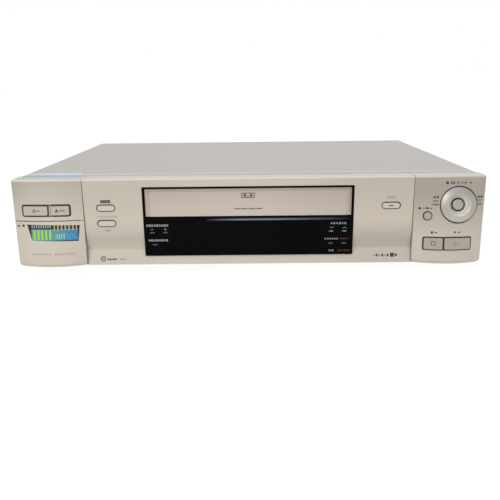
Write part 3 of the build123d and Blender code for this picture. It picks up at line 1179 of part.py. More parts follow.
for label, side in (("supply_guide", LEFT), ("takeup_guide", RIGHT)):
    with BuildPart() as guide:
        at = (side * GUIDE_REST[0], GUIDE_REST[1])
        run = Vector(side * GUIDE_RUN[0], GUIDE_RUN[1], 0)
        for z, width, height in (
            (DECK_TOP + SEAT_GAP, GUIDE_BASE_WIDTH, GUIDE_BASE_HEIGHT),
            (DECK_Z - SEAT_GAP - 2, GUIDE_BASE_WIDTH, 2.0),
            (DECK_Z - SEAT_GAP - 1, GUIDE_NECK, DECK_SHEET + 2 * SEAT_GAP + 2),
        ):
            with BuildSketch(Plane(origin=(*at, z), x_dir=run)) as layer:
                Rectangle(GUIDE_BASE_LENGTH - 2 * SEAT_GAP, width)
            extrude(layer.sketch, amount=height)
        base_top = DECK_TOP + SEAT_GAP + GUIDE_BASE_HEIGHT
        rod(GUIDE_ROLLER, (*at, base_top), (*at, GUIDE_TOP - 1.5))
        rod(GUIDE_ROLLER + 0.8, (*at, GUIDE_TOP - 1.5), (*at, GUIDE_TOP))
        rod(GUIDE_ROLLER + 0.8, (*at, base_top), (*at, base_top + 1.5))
    save(guide, label)


def lever(pivot, tip, tip_radius):
    """Flat arm from a sleeve round its post to its tip, in the current part."""
    with BuildSketch(Plane.XY.offset(ARM_Z)) as plate:
        with Locations(pivot):
            Circle(ARM_SLEEVE)
        with Locations(tip):
            Circle(tip_radius)
        make_hull()
    extrude(plate.sketch, amount=ARM_SHEET)
    tube(ARM_SLEEVE, ARM_POST + RUNNING_GAP, pivot, ARM_Z, ARM_Z + ARM_SLEEVE_HEIGHT)


with BuildPart() as pinch_arm:
    lever(PINCH_PIVOT, PINCH_ROLLER_AT, PINCH_BOSS)
    rod(PINCH_BOSS, (*PINCH_ROLLER_AT, ARM_Z), (*PINCH_ROLLER_AT, PINCH_Z - SEAT_GAP))
    rod(GUIDE_PIN, (*PINCH_ROLLER_AT, ARM_Z), (*PINCH_ROLLER_AT, PINCH_Z + PINCH_HEIGHT + GUIDE_PIN))
save(pinch_arm, "pinch_arm")

with BuildPart() as pinch_roller:
    tube(PINCH_RADIUS, GUIDE_PIN + RUNNING_GAP, PINCH_ROLLER_AT, PINCH_Z, PINCH_Z + PINCH_HEIGHT)
save(pinch_roller, "pinch_roller")

with BuildPart() as tension_arm:
    lever(TENSION_PIVOT, TENSION_POLE_AT, 3.0)
    rod(SHAFT_RADIUS, (*TENSION_POLE_AT, ARM_Z), (*TENSION_POLE_AT, GUIDE_TOP - 1))
save(tension_arm, "tension_arm")

ERASE_HEAD = (-52.0, DECK_Y + 22.0)
AUDIO_HEAD = (54.0, DECK_Y + 32.0)
with BuildPart() as tape_heads:
    for x, y in (ERASE_HEAD, AUDIO_HEAD):
        block((x - 4.5, x + 4.5), (y - 4, y + 4), (DECK_TOP, DECK_TOP + 3))
        block((x - 3.5, x + 3.5), (y - 3, y + 3), (DECK_TOP + 3, GUIDE_TOP - 4))
    fillet(tape_heads.edges().filter_by(Axis.Z).group_by(SortBy.LENGTH)[-1], 1.2)
save(tape_heads, "tape_heads")

PRESSURE_ANGLE = radians(20)


def gear_profile(teeth, centre, on_tooth):
    """Involute gear outline; a tooth, or a gap, faces +Y."""
    pitch = GEAR_MODULE * teeth / 2
    base = pitch * cos(PRESSURE_ANGLE)
    root = pitch - 1.15 * GEAR_MODULE
    tip = pitch + 0.85 * GEAR_MODULE
    half = (pi * GEAR_MODULE / 2 - GEAR_BACKLASH) / 2 / pitch

    def involute(angle):
        return sin(angle) / cos(angle) - angle

    def half_angle(radius):
        pressure = 0 if radius <= base else atan2((radius**2 - base**2) ** 0.5, base)
        return half + involute(PRESSURE_ANGLE) - involute(pressure)

    radii = [root] + [base] * (base > root) + [pitch, tip]
    flank = [(radius, half_angle(radius)) for radius in radii]
    points = []
    for tooth in range(teeth):
        middle = pi / 2 + 2 * pi * (tooth + (0 if on_tooth else 0.5)) / teeth
        for sign, side in ((-1, flank), (1, flank[::-1])):
            points += [(radius, middle + sign * angle) for radius, angle in side]
    with BuildSketch(Plane.XY.offset(GEAR_Z)) as sketch:
        with BuildLine():
            Polyline(*[(centre[0] + r * cos(a), centre[1] + r * sin(a)) for r, a in points], close=True)
        make_face()
    return sketch.sketch


with BuildPart() as cam_gear:
    extrude(gear_profile(CAM_TEETH, (CAM_X, CAM_Y), True), amount=GEAR_THICK)
    rod(ARM_SLEEVE, (CAM_X, CAM_Y, GEAR_Z), (CAM_X, CAM_Y, GEAR_Z + GEAR_THICK + 2))
    with BuildSketch(Plane.XY.offset(GEAR_Z + GEAR_THICK)) as groove:
        with Locations((CAM_X + 2.5, CAM_Y)):
            Circle(13.0)
            Circle(10.5, mode=Mode.SUBTRACT)
    extrude(groove.sketch, amount=-2.0, mode=Mode.SUBTRACT)
    rod(ARM_POST + RUNNING_GAP, (CAM_X, CAM_Y, GEAR_Z), (CAM_X, CAM_Y, POST_TOP), mode=Mode.SUBTRACT)
save(cam_gear, "cam_gear")

with BuildPart() as motor_pinion:
    extrude(gear_profile(PINION_TEETH, (PINION_X, PINION_Y), False), amount=GEAR_THICK)
    rod(1.0, (PINION_X, PINION_Y, DECK_Z - 8), (PINION_X, PINION_Y, GEAR_Z))
save(motor_pinion, "motor_pinion")

with BuildPart() as loading_motor:
    at = (PINION_X, PINION_Y)
    rod(MOTOR_RADIUS, (*at, MOTOR_Z), (*at, DECK_Z - SEAT_GAP))
    fillet(loading_motor.edges().group_by(Axis.Z)[0], 1.5)
    rod(1.0 + RUNNING_GAP, (*at, DECK_Z - 8.5), (*at, DECK_Z), mode=Mode.SUBTRACT)
save(loading_motor, "loading_motor")

# ---- Cassette loading ----------------------------------------------------------------------------
PIN_SLOT = GUIDE_PIN + PIN_PLAY


with BuildPart() as loading_frame:
    for side in (LEFT, RIGHT):
        plate = mirrored(FRAME_X, FRAME_X + FRAME_SHEET, side)
        block(plate, (FRAME_FRONT, FRAME_BACK), (DECK_TOP, BRIDGE_Z + FRAME_SHEET))
        foot = mirrored(FRAME_X, FRAME_X + FRAME_FLANGE, side)
        block(foot, (FRAME_FRONT, FRAME_BACK), (DECK_TOP, DECK_TOP + FRAME_SHEET))
        slot_y = (CARRIAGE_PIN_YS[0] - PIN_SLOT, CARRIAGE_PIN_YS[1] + CARRIAGE_TRAVEL + PIN_SLOT)
        block(plate, slot_y, (CARRIAGE_PIN_Z - PIN_SLOT, CARRIAGE_PIN_Z + PIN_SLOT), Mode.SUBTRACT)
        window_y = (FRAME_FRONT + FRAME_RAIL, FRAME_BACK - FRAME_RAIL)
        block(plate, window_y, (DECK_TOP + FRAME_RAIL, CARRIAGE_PIN_Z - FRAME_RAIL), Mode.SUBTRACT)
    bridge_x = FRAME_X + FRAME_SHEET
    block(
        (-bridge_x, bridge_x),
        (BRIDGE_Y - BRIDGE_WIDTH / 2, BRIDGE_Y + BRIDGE_WIDTH / 2),
        (BRIDGE_Z, BRIDGE_Z + FRAME_SHEET),
    )
save(loading_frame, "loading_frame")

BAR_Y = (CARRIAGE_PIN_YS[0] + 10, CARRIAGE_PIN_YS[0] + 24)
with BuildPart() as carriage:
    for side in (LEFT, RIGHT):
        plate = mirrored(CARRIAGE_X, CARRIAGE_X + FRAME_SHEET, side)
        block(plate, (CARRIAGE_FRONT, CARRIAGE_BACK), (CARRIAGE_BOTTOM, CARRIAGE_PIN_Z + 3))
        block(plate, BAR_Y, (CARRIAGE_PIN_Z, CARRIAGE_BAR_Z + FRAME_SHEET))
        for y in HOLDER_PIN_YS:
            slot_z = (HOLDER_PIN_Z - HOLDER_DROP - PIN_SLOT, HOLDER_PIN_Z + PIN_SLOT)
            block(plate, (y - PIN_SLOT, y + PIN_SLOT), slot_z, Mode.SUBTRACT)
        for y in CARRIAGE_PIN_YS:
            pin_end = side * (FRAME_X + FRAME_SHEET + PIN_PAST)
            rod(GUIDE_PIN, (side * CARRIAGE_X, y, CARRIAGE_PIN_Z), (pin_end, y, CARRIAGE_PIN_Z))
    bar_x = CARRIAGE_X + FRAME_SHEET
    block((-bar_x, bar_x), BAR_Y, (CARRIAGE_BAR_Z, CARRIAGE_BAR_Z + FRAME_SHEET))
save(carriage, "carriage")

STOP_HALF = 30.0
STOP_DROP = 5.0
HOLDER_WINDOW = (60.0, 26.0, 4.0)
HOLDER_WINDOW_PITCH = 100.0
with BuildPart() as cassette_holder:
    side_x = HOLDER_X + HOLDER_SHEET
    holder_y = (HOLDER_FRONT, HOLDER_BACK)
    block((-side_x, side_x), holder_y, (HOLDER_ROOF, HOLDER_ROOF + HOLDER_SHEET))
    for side in (LEFT, RIGHT):
        block(mirrored(HOLDER_X, side_x, side), holder_y, (HOLDER_FLOOR - HOLDER_SHEET, HOLDER_ROOF))
        ledge = mirrored(side_x - HOLDER_LEDGE, side_x, side)
        block(ledge, holder_y, (HOLDER_FLOOR - HOLDER_SHEET, HOLDER_FLOOR))
        for y in HOLDER_PIN_YS:
            pin_end = side * (CARRIAGE_X + FRAME_SHEET + PIN_PAST)
            rod(GUIDE_PIN, (side * HOLDER_X, y, HOLDER_PIN_Z), (pin_end, y, HOLDER_PIN_Z))
    block(
        (-STOP_HALF, STOP_HALF),
        (HOLDER_BACK - HOLDER_SHEET, HOLDER_BACK),
        (HOLDER_ROOF - STOP_DROP, HOLDER_ROOF),
    )
    with BuildSketch(Plane.XY.offset(HOLDER_ROOF)) as windows:
        with Locations((0, (HOLDER_FRONT + HOLDER_BACK) / 2)):
            with GridLocations(HOLDER_WINDOW_PITCH, 1, 2, 1):
                RectangleRounded(*HOLDER_WINDOW)
    extrude(windows.sketch, amount=HOLDER_SHEET, mode=Mode.SUBTRACT)
save(cassette_holder, "cassette_holder")
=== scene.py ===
import json
from math import asin, cos, pi, radians, sin, tau

import bpy
import numpy as np
from mathutils import Matrix, Vector


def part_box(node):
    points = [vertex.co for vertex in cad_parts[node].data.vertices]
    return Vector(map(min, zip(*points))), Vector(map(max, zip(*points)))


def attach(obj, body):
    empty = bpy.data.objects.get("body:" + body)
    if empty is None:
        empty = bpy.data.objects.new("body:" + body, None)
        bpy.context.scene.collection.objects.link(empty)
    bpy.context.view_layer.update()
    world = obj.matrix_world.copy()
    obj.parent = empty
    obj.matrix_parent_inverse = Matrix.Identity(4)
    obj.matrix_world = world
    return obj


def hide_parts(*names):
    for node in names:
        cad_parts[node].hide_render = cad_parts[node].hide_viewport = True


# Looks of a front-loading video cassette recorder. Shapes are worked out in millimetres and stored in metres.

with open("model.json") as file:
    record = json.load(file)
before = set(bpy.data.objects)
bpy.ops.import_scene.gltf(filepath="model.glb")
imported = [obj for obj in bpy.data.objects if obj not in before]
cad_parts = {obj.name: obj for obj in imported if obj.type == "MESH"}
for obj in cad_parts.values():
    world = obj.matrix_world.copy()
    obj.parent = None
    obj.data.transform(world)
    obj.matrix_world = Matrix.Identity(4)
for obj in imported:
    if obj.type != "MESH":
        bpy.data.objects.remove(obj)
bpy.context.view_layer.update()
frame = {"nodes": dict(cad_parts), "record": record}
nodes = frame["nodes"]
MM = 0.001


def limits(node):
    """Lowest and highest corner of a CAD node, in millimetres."""
    low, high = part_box(node)
    return np.array(low) / MM, np.array(high) / MM


# ---- Places on the case --------------------------------------------------------------------------
SIDE_X = 215.0
SEAM_X = 150.75             # between the centre panel and the cheeks
MIDDLE_X = (SIDE_X + SEAM_X) / 2
FRONT_Y, REAR_Y = -160.0, 160.0
COVER_FRONT = -139.5
PANEL_TOP, COVER_TOP = 89.2, 90.0
BELLY_Z = 13.0              # height at which the cheeks stand out furthest
GROOVE_Y, GROOVE_Z = -157.0, 25.2
LIP_Y, LIP_Z = -161.0, 8.8
PILL_X, PILL_Z, LOW_PILL_Z = 130.25, 62.6, 48.2
POWER_X, EJECT_X, POWER_Z = -193.4, -171.1, 61.45
STOP_X, PLAY_X, PLAY_Z = 168.55, 190.35, 28.1
RECORD_X, RECORD_Z = 162.8, 53.3
RING_X, RING_Z = 190.3, 63.2


# ---- Camera --------------------------------------------------------------------------------------
FOCAL_SHARE = 598 / 500     # focal length over the width of the square frame
camera_data = bpy.data.cameras.new("camera")
camera_data.sensor_fit = "HORIZONTAL"
camera_data.sensor_width = 36.0
camera_data.lens = FOCAL_SHARE * camera_data.sensor_width
camera_data.clip_start = 0.01
camera_data.clip_end = 60.0
camera = bpy.data.objects.new("camera", camera_data)
bpy.context.scene.collection.objects.link(camera)
pitch, yaw, roll = radians(15.77), radians(-0.57), radians(-0.68)
forward = Vector((sin(yaw) * cos(pitch), cos(yaw) * cos(pitch), -sin(pitch)))
level = Vector((cos(yaw), -sin(yaw), 0))
upright = level.cross(forward)
right = cos(roll) * level + sin(roll) * upright
up = cos(roll) * upright - sin(roll) * level
turn = Matrix((right, up, -forward)).transposed().to_4x4()
CAMERA_PLACE = (0.0066, -0.6954, 0.1728)
camera.matrix_world = Matrix.Translation(CAMERA_PLACE) @ turn
bpy.context.scene.camera = camera
bpy.context.scene.view_settings.view_transform = "Standard"


# ---- Materials -----------------------------------------------------------------------------------
class Wire:
    """One output among a material's nodes. Arithmetic on it adds Math nodes."""

    def __init__(self, finish, socket):
        self.finish = finish
        self.socket = socket

    def maths(self, operation, *values, clamp=False):
        settings = {"operation": operation, "use_clamp": clamp}
        return self.finish.node("ShaderNodeMath", settings, dict(enumerate(values)))

    def __add__(self, other):
        return self.maths("ADD", self, other)

    def __sub__(self, other):
        return self.maths("SUBTRACT", self, other)

    def __rsub__(self, other):
        return self.maths("SUBTRACT", other, self)

    def __mul__(self, other):
        return self.maths("MULTIPLY", self, other)

    def __truediv__(self, other):
        return self.maths("DIVIDE", self, other)

    def __abs__(self):
        return self.maths("ABSOLUTE", self)

    __radd__ = __add__
    __rmul__ = __mul__

    def sine(self):
        return self.maths("SINE", self)

    def root(self):
        return self.maths("SQRT", self)

    def larger(self, other):
        return self.maths("MAXIMUM", self, other)

    def past(self, edge, soft):
        """0 before an edge and 1 after it, over a soft width."""
        return self.maths("MULTIPLY_ADD", self, 1 / soft, 0.5 - edge / soft, clamp=True)


class Finish:
    """A material being made: its nodes, its shader and the position on the piece."""

    def __init__(self, name, **fixed):
        self.material = bpy.data.materials.new(name)
        self.material.use_nodes = True
        self.tree = self.material.node_tree
        self.shader = self.tree.nodes["Principled BSDF"]
        self.place = self.node("ShaderNodeTexCoord", output="Object")
        for socket, value in fixed.items():
            self.feed(socket.replace("_", " "), value)

    def node(self, kind, settings=None, inputs=None, output=0):
        """Any node: its settings are set first, then the values or links of its sockets."""
        made = self.tree.nodes.new(kind)
        for setting, value in (settings or {}).items():
            if setting == "stops":
                elements = made.color_ramp.elements
                for position, _ in value[1:-1]:
                    elements.new(position)
                for element, (_, colour) in zip(elements, value):
                    element.color = (*colour, 1)
            else:
                setattr(made, setting, value)
        for socket, value in (inputs or {}).items():
            self.join(made.inputs[socket], value)
        return Wire(self, made.outputs[output])

    def join(self, socket, value):
        """Set a socket to a plain value or link a wire to it."""
        if isinstance(value, Wire):
            self.tree.links.new(value.socket, socket)
        elif socket.type == "RGBA" and len(value) == 3:
            socket.default_value = (*value, 1)
        else:
            socket.default_value = value

    def feed(self, socket, value):
        self.join(self.shader.inputs[socket], value)

    def axes(self):
        """Position across, front to back and up, in millimetres."""
        scaled = self.stretched((1 / MM, 1 / MM, 1 / MM))
        return [self.node("ShaderNodeSeparateXYZ", inputs={0: scaled}, output=axis) for axis in range(3)]

    def stretched(self, scale):
        """Position scaled along each axis."""
        return self.node("ShaderNodeVectorMath", {"operation": "MULTIPLY"}, {0: self.place, 1: scale})

    def grain(self, size, detail=2.0, stretch=(1, 1, 1)):
        """Noise of about 0.3 to 0.7 whose features are size millimetres long, drawn out by stretch."""
        scale = [1 / (size * MM * factor) for factor in stretch]
        inputs = {"Vector": self.stretched(scale), "Scale": 1.0, "Detail": detail, "Roughness": 0.5}
        return self.node("ShaderNodeTexNoise", inputs=inputs)

    def between(self, factor, first, second):
        """Colour part of the way from one to another."""
        return self.node("ShaderNodeMix", {"data_type": "RGBA"}, {0: factor, 6: first, 7: second}, output=2)

    def relief(self, height, depth):
        """Bump of a height from 0 to 1, depth millimetres deep."""
        inputs = {"Height": height, "Distance": depth * MM, "Strength": 1.0}
        self.feed("Normal", self.node("ShaderNodeBump", inputs=inputs))


def shade(colour, factor):
    return tuple(min(value * factor, 1.0) for value in colour)


PAINTED_SHADE_LEVEL = 0.6                # brightness of the painted shade that the painted-shade masks below lay over a colour
CHEEK_X = 150.9             # just past the seam


def front_painted_shade(finish):
    """Share of painted shade on the front, for how the light falls on it. It grows up the cheeks and, less,
    up the centre panel, fills the roll and the fold above the lip, and darkens the lip's ends and the left
    cheek's outer edge. It stops short of the rounded top."""
    across, _, height = finish.axes()
    cheek = abs(across).past(CHEEK_X, 0.3)
    right = across.past(0.0, 1.0)
    below_top = 1 - height.past(87.8, 1.6)
    above_lip = height.past(22.7, 1.2)
    upper = (height + right * 22.0).past(72.0, 44.0) * (0.8 + right * 0.1) * below_top
    outer = (1 - across.past(-206.0, 16.0)) * below_top * 0.22
    roll = (height + right * 3.0).past(28.5, 7.0) * (1 - height.past(42.0, 16.0)) * (0.36 + right * 0.14)
    fold = above_lip * (1 - height.past(GROOVE_Z, 0.4)) * 0.47
    lip = (1 - above_lip) * abs(across).past(90.0, 30.0) * 0.2
    ends = abs(across).past(70.0, 40.0) * (0.2 + right * 0.06)
    crown = height.past(62.0, 34.0) * (0.06 + ends) * below_top
    return outer + cheek * upper.larger(right * 0.12) + (1 - cheek) * (roll + fold + lip + crown)


def cap_painted_shade(finish):
    """Share of painted shade on the caps, for how the light falls on them: a little on the centre panel, most
    of it on the left cheek and all of it on the right."""
    across, _, _ = finish.axes()
    return abs(across).past(CHEEK_X, 0.3) * 0.47 + across.past(CHEEK_X, 0.3) * 0.28 + 0.25


def door_painted_shade(finish):
    """Share of painted shade on the cassette door, for how the light falls on it: it grows upwards and
    towards the ends.
    """
    across, _, height = finish.axes()
    ends = across.past(60.0, 90.0) * 0.28 + (1 - across.past(-62.0, 60.0)) * 0.14
    return ends + height.past(66.0, 28.0) * 0.4


def cover_painted_shade(finish):
    """Share of painted shade on the cover, for how the light falls on it: it grows to the left and a little
    to the back.
    """
    across, deep, _ = finish.axes()
    return (1 - across.past(-110.0, 180.0)) * 0.14 + deep.past(-100.0, 60.0) * 0.06


def moulded(name, colour, roughness=0.45, metallic=0.0, fleck=0.05, coat=0.0, painted_shade=None, ledge_painted_light=None):
    """Moulded plastic or lacquer on plastic: fine pearl fleck, faint cloudiness and a satin grain.
    Painted shade can be laid over the piece as a share of a deeper shade of the colour, and painted light
    turns the front's flat top a greyer colour, for how that top takes the light."""
    finish = Finish(name, Metallic=metallic, Coat_Weight=coat, Coat_Roughness=0.15)
    speck = finish.grain(0.35, 3.0)
    cloud = finish.grain(60.0, 2.0)
    mottled = finish.between(cloud, shade(colour, 1 - 0.6 * fleck), shade(colour, 1 + 0.6 * fleck))
    sparkle = finish.between(speck, shade(colour, 1 - 2 * fleck), shade(colour, 1 + 2 * fleck))
    pearly_and_painted_light = finish.between(0.5, mottled, sparkle)
    # Painted shade: part of the way to a deeper shade of the colour, for how the light falls on the piece.
    if painted_shade:
        pearly_and_painted_light = finish.between(painted_shade(finish), pearly_and_painted_light, shade(colour, PAINTED_SHADE_LEVEL))
    # Painted light: the front's flat top is given a greyer, less yellow colour, for how it takes the light
    # from above.
    if ledge_painted_light:
        pearly_and_painted_light = finish.between(finish.axes()[2].past(PANEL_TOP - 0.25, 0.25), pearly_and_painted_light, ledge_painted_light)
    finish.feed("Base Color", pearly_and_painted_light)
    finish.feed("Roughness", roughness + (speck - 0.5) * 0.2 + (cloud - 0.5) * 0.1)
    finish.relief(finish.grain(0.5, 2.0), 0.012)
    return finish


def painted(name, colour, roughness=0.42, metallic=0.15, edge_highlight=0.0, painted_shade=None):
    """Sprayed sheet steel: orange peel, fine pearl fleck and a slow change of colour over the sheet.
    Painted shade can be laid over the sheet as a share of a deeper shade of the colour, and a painted
    highlight makes the cover's front edge lighter by a given amount, with the cut face of that edge lighter
    still."""
    finish = Finish(name, Metallic=metallic)
    peel = finish.grain(1.1, 2.0)
    fleck = finish.grain(0.3, 2.0)
    slow = finish.grain(140.0, 2.0)
    clouded = finish.between(slow, shade(colour, 0.95), shade(colour, 1.04))
    speckled = finish.between(fleck, shade(colour, 0.86), shade(colour, 1.12))
    sprayed = finish.between(0.45, clouded, speckled)
    # Painted shade: part of the way to a deeper shade of the colour, for how the light falls on the sheet.
    if painted_shade:
        sprayed = finish.between(painted_shade(finish), sprayed, shade(colour, PAINTED_SHADE_LEVEL))
    # Painted highlight: the cover's front edge is made lighter, and the cut face of that edge lighter still.
    if edge_highlight:
        _, deep, height = finish.axes()
        sprayed = finish.between(1 - deep.past(COVER_FRONT + 5.0, 6.0), sprayed, shade(colour, 1 + edge_highlight))
        cut_face_highlight = (1 - height.past(COVER_TOP - 0.15, 0.1)) * (1 - deep.past(COVER_FRONT + 1.0, 0.5))
        sprayed = finish.between(cut_face_highlight, sprayed, shade(colour, 2.0))
    finish.feed("Base Color", sprayed)
    finish.feed("Roughness", roughness + (peel - 0.5) * 0.12 + (slow - 0.5) * 0.1)
    finish.relief(peel + fleck * 0.4, 0.02)
    return finish


def rolled(name, colour, roughness=0.3, along=(12, 1, 1)):
    """Plated sheet steel: rolling lines along one axis, soft cloudy spangle and handling smudges."""
    finish = Finish(name, Metallic=1.0)
    lines = finish.grain(0.6, 3.0, along)
    inputs = {"Vector": finish.place, "Scale": 160.0}
    spangle = finish.node("ShaderNodeTexVoronoi", inputs=inputs, output="Distance")
    smudge = finish.grain(28.0, 3.0)
    worn = finish.between(lines * 0.6 + spangle * 0.4, shade(colour, 0.82), shade(colour, 1.12))
    finish.feed("Base Color", finish.between(smudge * 0.5, worn, shade(colour, 0.8)))
    finish.feed("Roughness", roughness + (lines - 0.5) * 0.2 + (smudge - 0.5) * 0.2)
    finish.relief(lines, 0.008)
    return finish


def turned(name, colour, centre, roughness=0.16):
    """Lathe-turned metal: fine rings about an upright axis through the centre, with faint stains."""
    finish = Finish(name, Metallic=1.0)
    across, deep, height = finish.axes()
    east, north = across - centre[0], deep - centre[1]
    radius = (east * east + north * north).root()
    rings = (radius * 9.0).sine() * 0.25 + (radius * 23.0 + height * 14.0).sine() * 0.25 + 0.5
    stain = finish.grain(7.0, 2.0)
    patchy = rings * 0.5 + stain * 0.5
    finish.feed("Base Color", finish.between(patchy, shade(colour, 0.88), shade(colour, 1.06)))
    finish.feed("Roughness", roughness + rings * 0.08 + (stain - 0.5) * 0.06)
    finish.relief(rings, 0.004)
    return finish


def rubber(name, colour, roughness=0.75):
    """Moulded rubber: dull, slightly dusty, with a fine pebbled skin."""
    finish = Finish(name)
    dust = finish.grain(9.0, 4.0)
    skin = finish.grain(0.6, 2.0)
    finish.feed("Base Color", finish.between(dust.past(0.55, 0.3) * 0.5, colour, shade(colour, 2.2)))
    finish.feed("Roughness", roughness + (skin - 0.5) * 0.2)
    finish.relief(skin, 0.03)
    return finish


def laminate(name, colour):
    """Circuit board: solder mask over a grid of tracks, with rows of tinned pads."""
    finish = Finish(name)
    across, deep, _ = finish.axes()
    bend = finish.grain(16.0, 1.0) * 10.0
    tracks = ((across * 1.6 + bend).sine() * (deep * 1.3 + bend).sine()).past(0.15, 0.12)
    pads = ((across * 2.47).sine() * (deep * 2.47).sine()).past(0.86, 0.05)
    copper = finish.between(tracks, colour, shade(colour, 1.7))
    finish.feed("Base Color", finish.between(pads, copper, (0.62, 0.6, 0.55)))
    finish.feed("Roughness", 0.38 - pads * 0.12)
    finish.feed("Metallic", pads * 0.8)
    finish.relief(tracks, 0.02)
    return finish


def mark_finish(name, colour, roughness=0.55):
    """Screen print, a touch uneven. The same finish also makes the black of the painted shade in gaps and the
    silver of painted highlights.
    """
    finish = Finish(name)
    uneven = finish.grain(0.25, 2.0)
    finish.feed("Base Color", finish.between(uneven, shade(colour, 0.85), shade(colour, 1.15)))
    finish.feed("Roughness", roughness + (uneven - 0.5) * 0.1)
    return finish


CHAMPAGNE = (0.595, 0.535, 0.457)
# Painted light: the greyer colour given to the front's flat top, for how it takes the light.
LEDGE_PAINTED_LIGHT = (0.505, 0.465, 0.435)
finishes = {
    # Painted shade is laid over the cover, front, door and button finishes; the cover's front edge also gets
    # a painted highlight, and the front's flat top painted light.
    "cover_paint": painted("cover_paint", (0.380, 0.357, 0.334), edge_highlight=0.3, painted_shade=cover_painted_shade),
    "front_plastic": moulded("front_plastic", CHAMPAGNE, 0.42, 0.2, painted_shade=front_painted_shade, ledge_painted_light=LEDGE_PAINTED_LIGHT),
    "door_plastic": moulded("door_plastic", (0.605, 0.52, 0.45), 0.42, 0.15, painted_shade=door_painted_shade),
    "button_plastic": moulded("button_plastic", (0.67, 0.602, 0.532), 0.34, 0.15, 0.03, 0.1, painted_shade=cap_painted_shade),
    "key_plastic": moulded("key_plastic", (0.014, 0.014, 0.016), 0.4, 0.0),
    "zinc_steel": rolled("zinc_steel", (0.62, 0.63, 0.64)),
    "rear_paint": painted("rear_paint", (0.035, 0.035, 0.037), 0.5, 0.0),
    "machined_steel": rolled("machined_steel", (0.66, 0.66, 0.67), 0.2, (1, 1, 8)),
    "foot_rubber": rubber("foot_rubber", (0.022, 0.022, 0.023)),
    "belt_rubber": rubber("belt_rubber", (0.016, 0.016, 0.017), 0.6),
    "board_laminate": laminate("board_laminate", (0.012, 0.05, 0.024)),
    "component_black": moulded("component_black", (0.03, 0.035, 0.05), 0.35, 0.0, 0.1, 0.2),
    "transformer_iron": rolled("transformer_iron", (0.16, 0.15, 0.14), 0.55, (1, 1, 20)),
    "tuner_plate": rolled("tuner_plate", (0.68, 0.68, 0.66), 0.22, (1, 1, 10)),
    "socket_block": moulded("socket_block", (0.03, 0.03, 0.032), 0.4),
    "drum_aluminium": turned("drum_aluminium", (0.82, 0.82, 0.83), (0, 38)),
    "deck_plastic": moulded("deck_plastic", (0.045, 0.045, 0.05), 0.38, 0.0, 0.1),
    "gear_plastic": moulded("gear_plastic", (0.66, 0.63, 0.55), 0.4, 0.0, 0.04),
    "motor_can": rolled("motor_can", (0.58, 0.58, 0.58), 0.25, (1, 1, 14)),
}

window = Finish("window_acrylic", Specular_IOR_Level=0.03)
haze = window.grain(35.0, 3.0)
across, _, height = window.axes()
tinted = window.between(haze, (0.0018, 0.0018, 0.0022), (0.0028, 0.0028, 0.0036))
# Painted highlight: a bluish-white band along the window's rounded top edge, in place of a reflection there.
painted_gleam = height.past(50.1, 0.6) * (1 - height.past(51.7, 0.8))
painted_gleam = painted_gleam * across.past(-25.0, 30.0) * (1 - across.past(60.0, 70.0))
window.feed("Base Color", window.between(painted_gleam, tinted, (0.17, 0.195, 0.27)))
window.feed("Roughness", 0.05 + haze * 0.05)
finishes["window_acrylic"] = window

tube = Finish("tube_glass", Coat_Weight=0.6)
across, _, height = tube.axes()
mesh_lines = (across * 6.0).sine().past(0.6, 0.3) * (height * 6.0).sine().past(0.6, 0.3)
tube.feed("Base Color", tube.between(mesh_lines, (0.01, 0.03, 0.03), (0.14, 0.17, 0.17)))
tube.feed("Roughness", 0.08 + mesh_lines * 0.1)
finishes["tube_glass"] = tube

lacquer = Finish("ring_finish")
across, _, height = lacquer.axes()
east, rise = across - RING_X, height - RING_Z
radius = (east * east + rise * rise).root()
turning = (radius * 11.0).sine() * 0.5 + 0.5
speck = lacquer.grain(0.3, 2.0)
pearly_and_painted_light = lacquer.between(speck, (0.375, 0.35, 0.31), (0.465, 0.44, 0.395))
funnel = radius.past(5.5, 0.4) * (1 - radius.past(9.0, 4.0))
# Painted light and shade: the ring is darker towards its top and lighter towards its bottom, for how the
# light falls on it.
pearly_and_painted_light = lacquer.between(rise.past(8.0, 8.0) * 0.7, pearly_and_painted_light, (0.355, 0.335, 0.31))
pearly_and_painted_light = lacquer.between((1 - rise.past(-8.0, 8.0)) * 0.7, pearly_and_painted_light, (0.55, 0.52, 0.48))
# Painted light: the funnel round the pause button is made much lighter, in place of the shade in that well.
lacquer.feed("Base Color", lacquer.between(funnel * 0.8, pearly_and_painted_light, (0.86, 0.82, 0.74)))
lacquer.feed("Metallic", 0.75 - funnel * 0.6)
lacquer.feed("Roughness", 0.42 + turning * 0.04 + (speck - 0.5) * 0.08)
lacquer.relief(turning * 0.5 + speck * 0.5, 0.008)
finishes["ring_finish"] = lacquer

for part in frame["record"]["subparts"]:
    for material_slot in nodes[part["node"]].material_slots:
        material_slot.material = finishes[part["material_slot"]].material

mark_finishes = {
    "dark": mark_finish("dark_ink", (0.035, 0.03, 0.028)),
    "soft": mark_finish("soft_ink", (0.16, 0.135, 0.115)),
    "pale": mark_finish("pale_ink", (0.40, 0.36, 0.31)),
    # black: used only for the bands, bars and lines that paint the shade in gaps
    "black": mark_finish("black_shade_ink", (0.012, 0.011, 0.011)),
    "white": mark_finish("white_ink", (0.24, 0.24, 0.245)),
    # silver: used only for the painted highlights on the channel keys
    "silver": mark_finish("silver_highlight_ink", (0.62, 0.62, 0.62), 0.3),
    "red": mark_finish("red_ink", (0.11, 0.014, 0.014)),
    "green": mark_finish("green_ink", (0.03, 0.23, 0.12)),
}


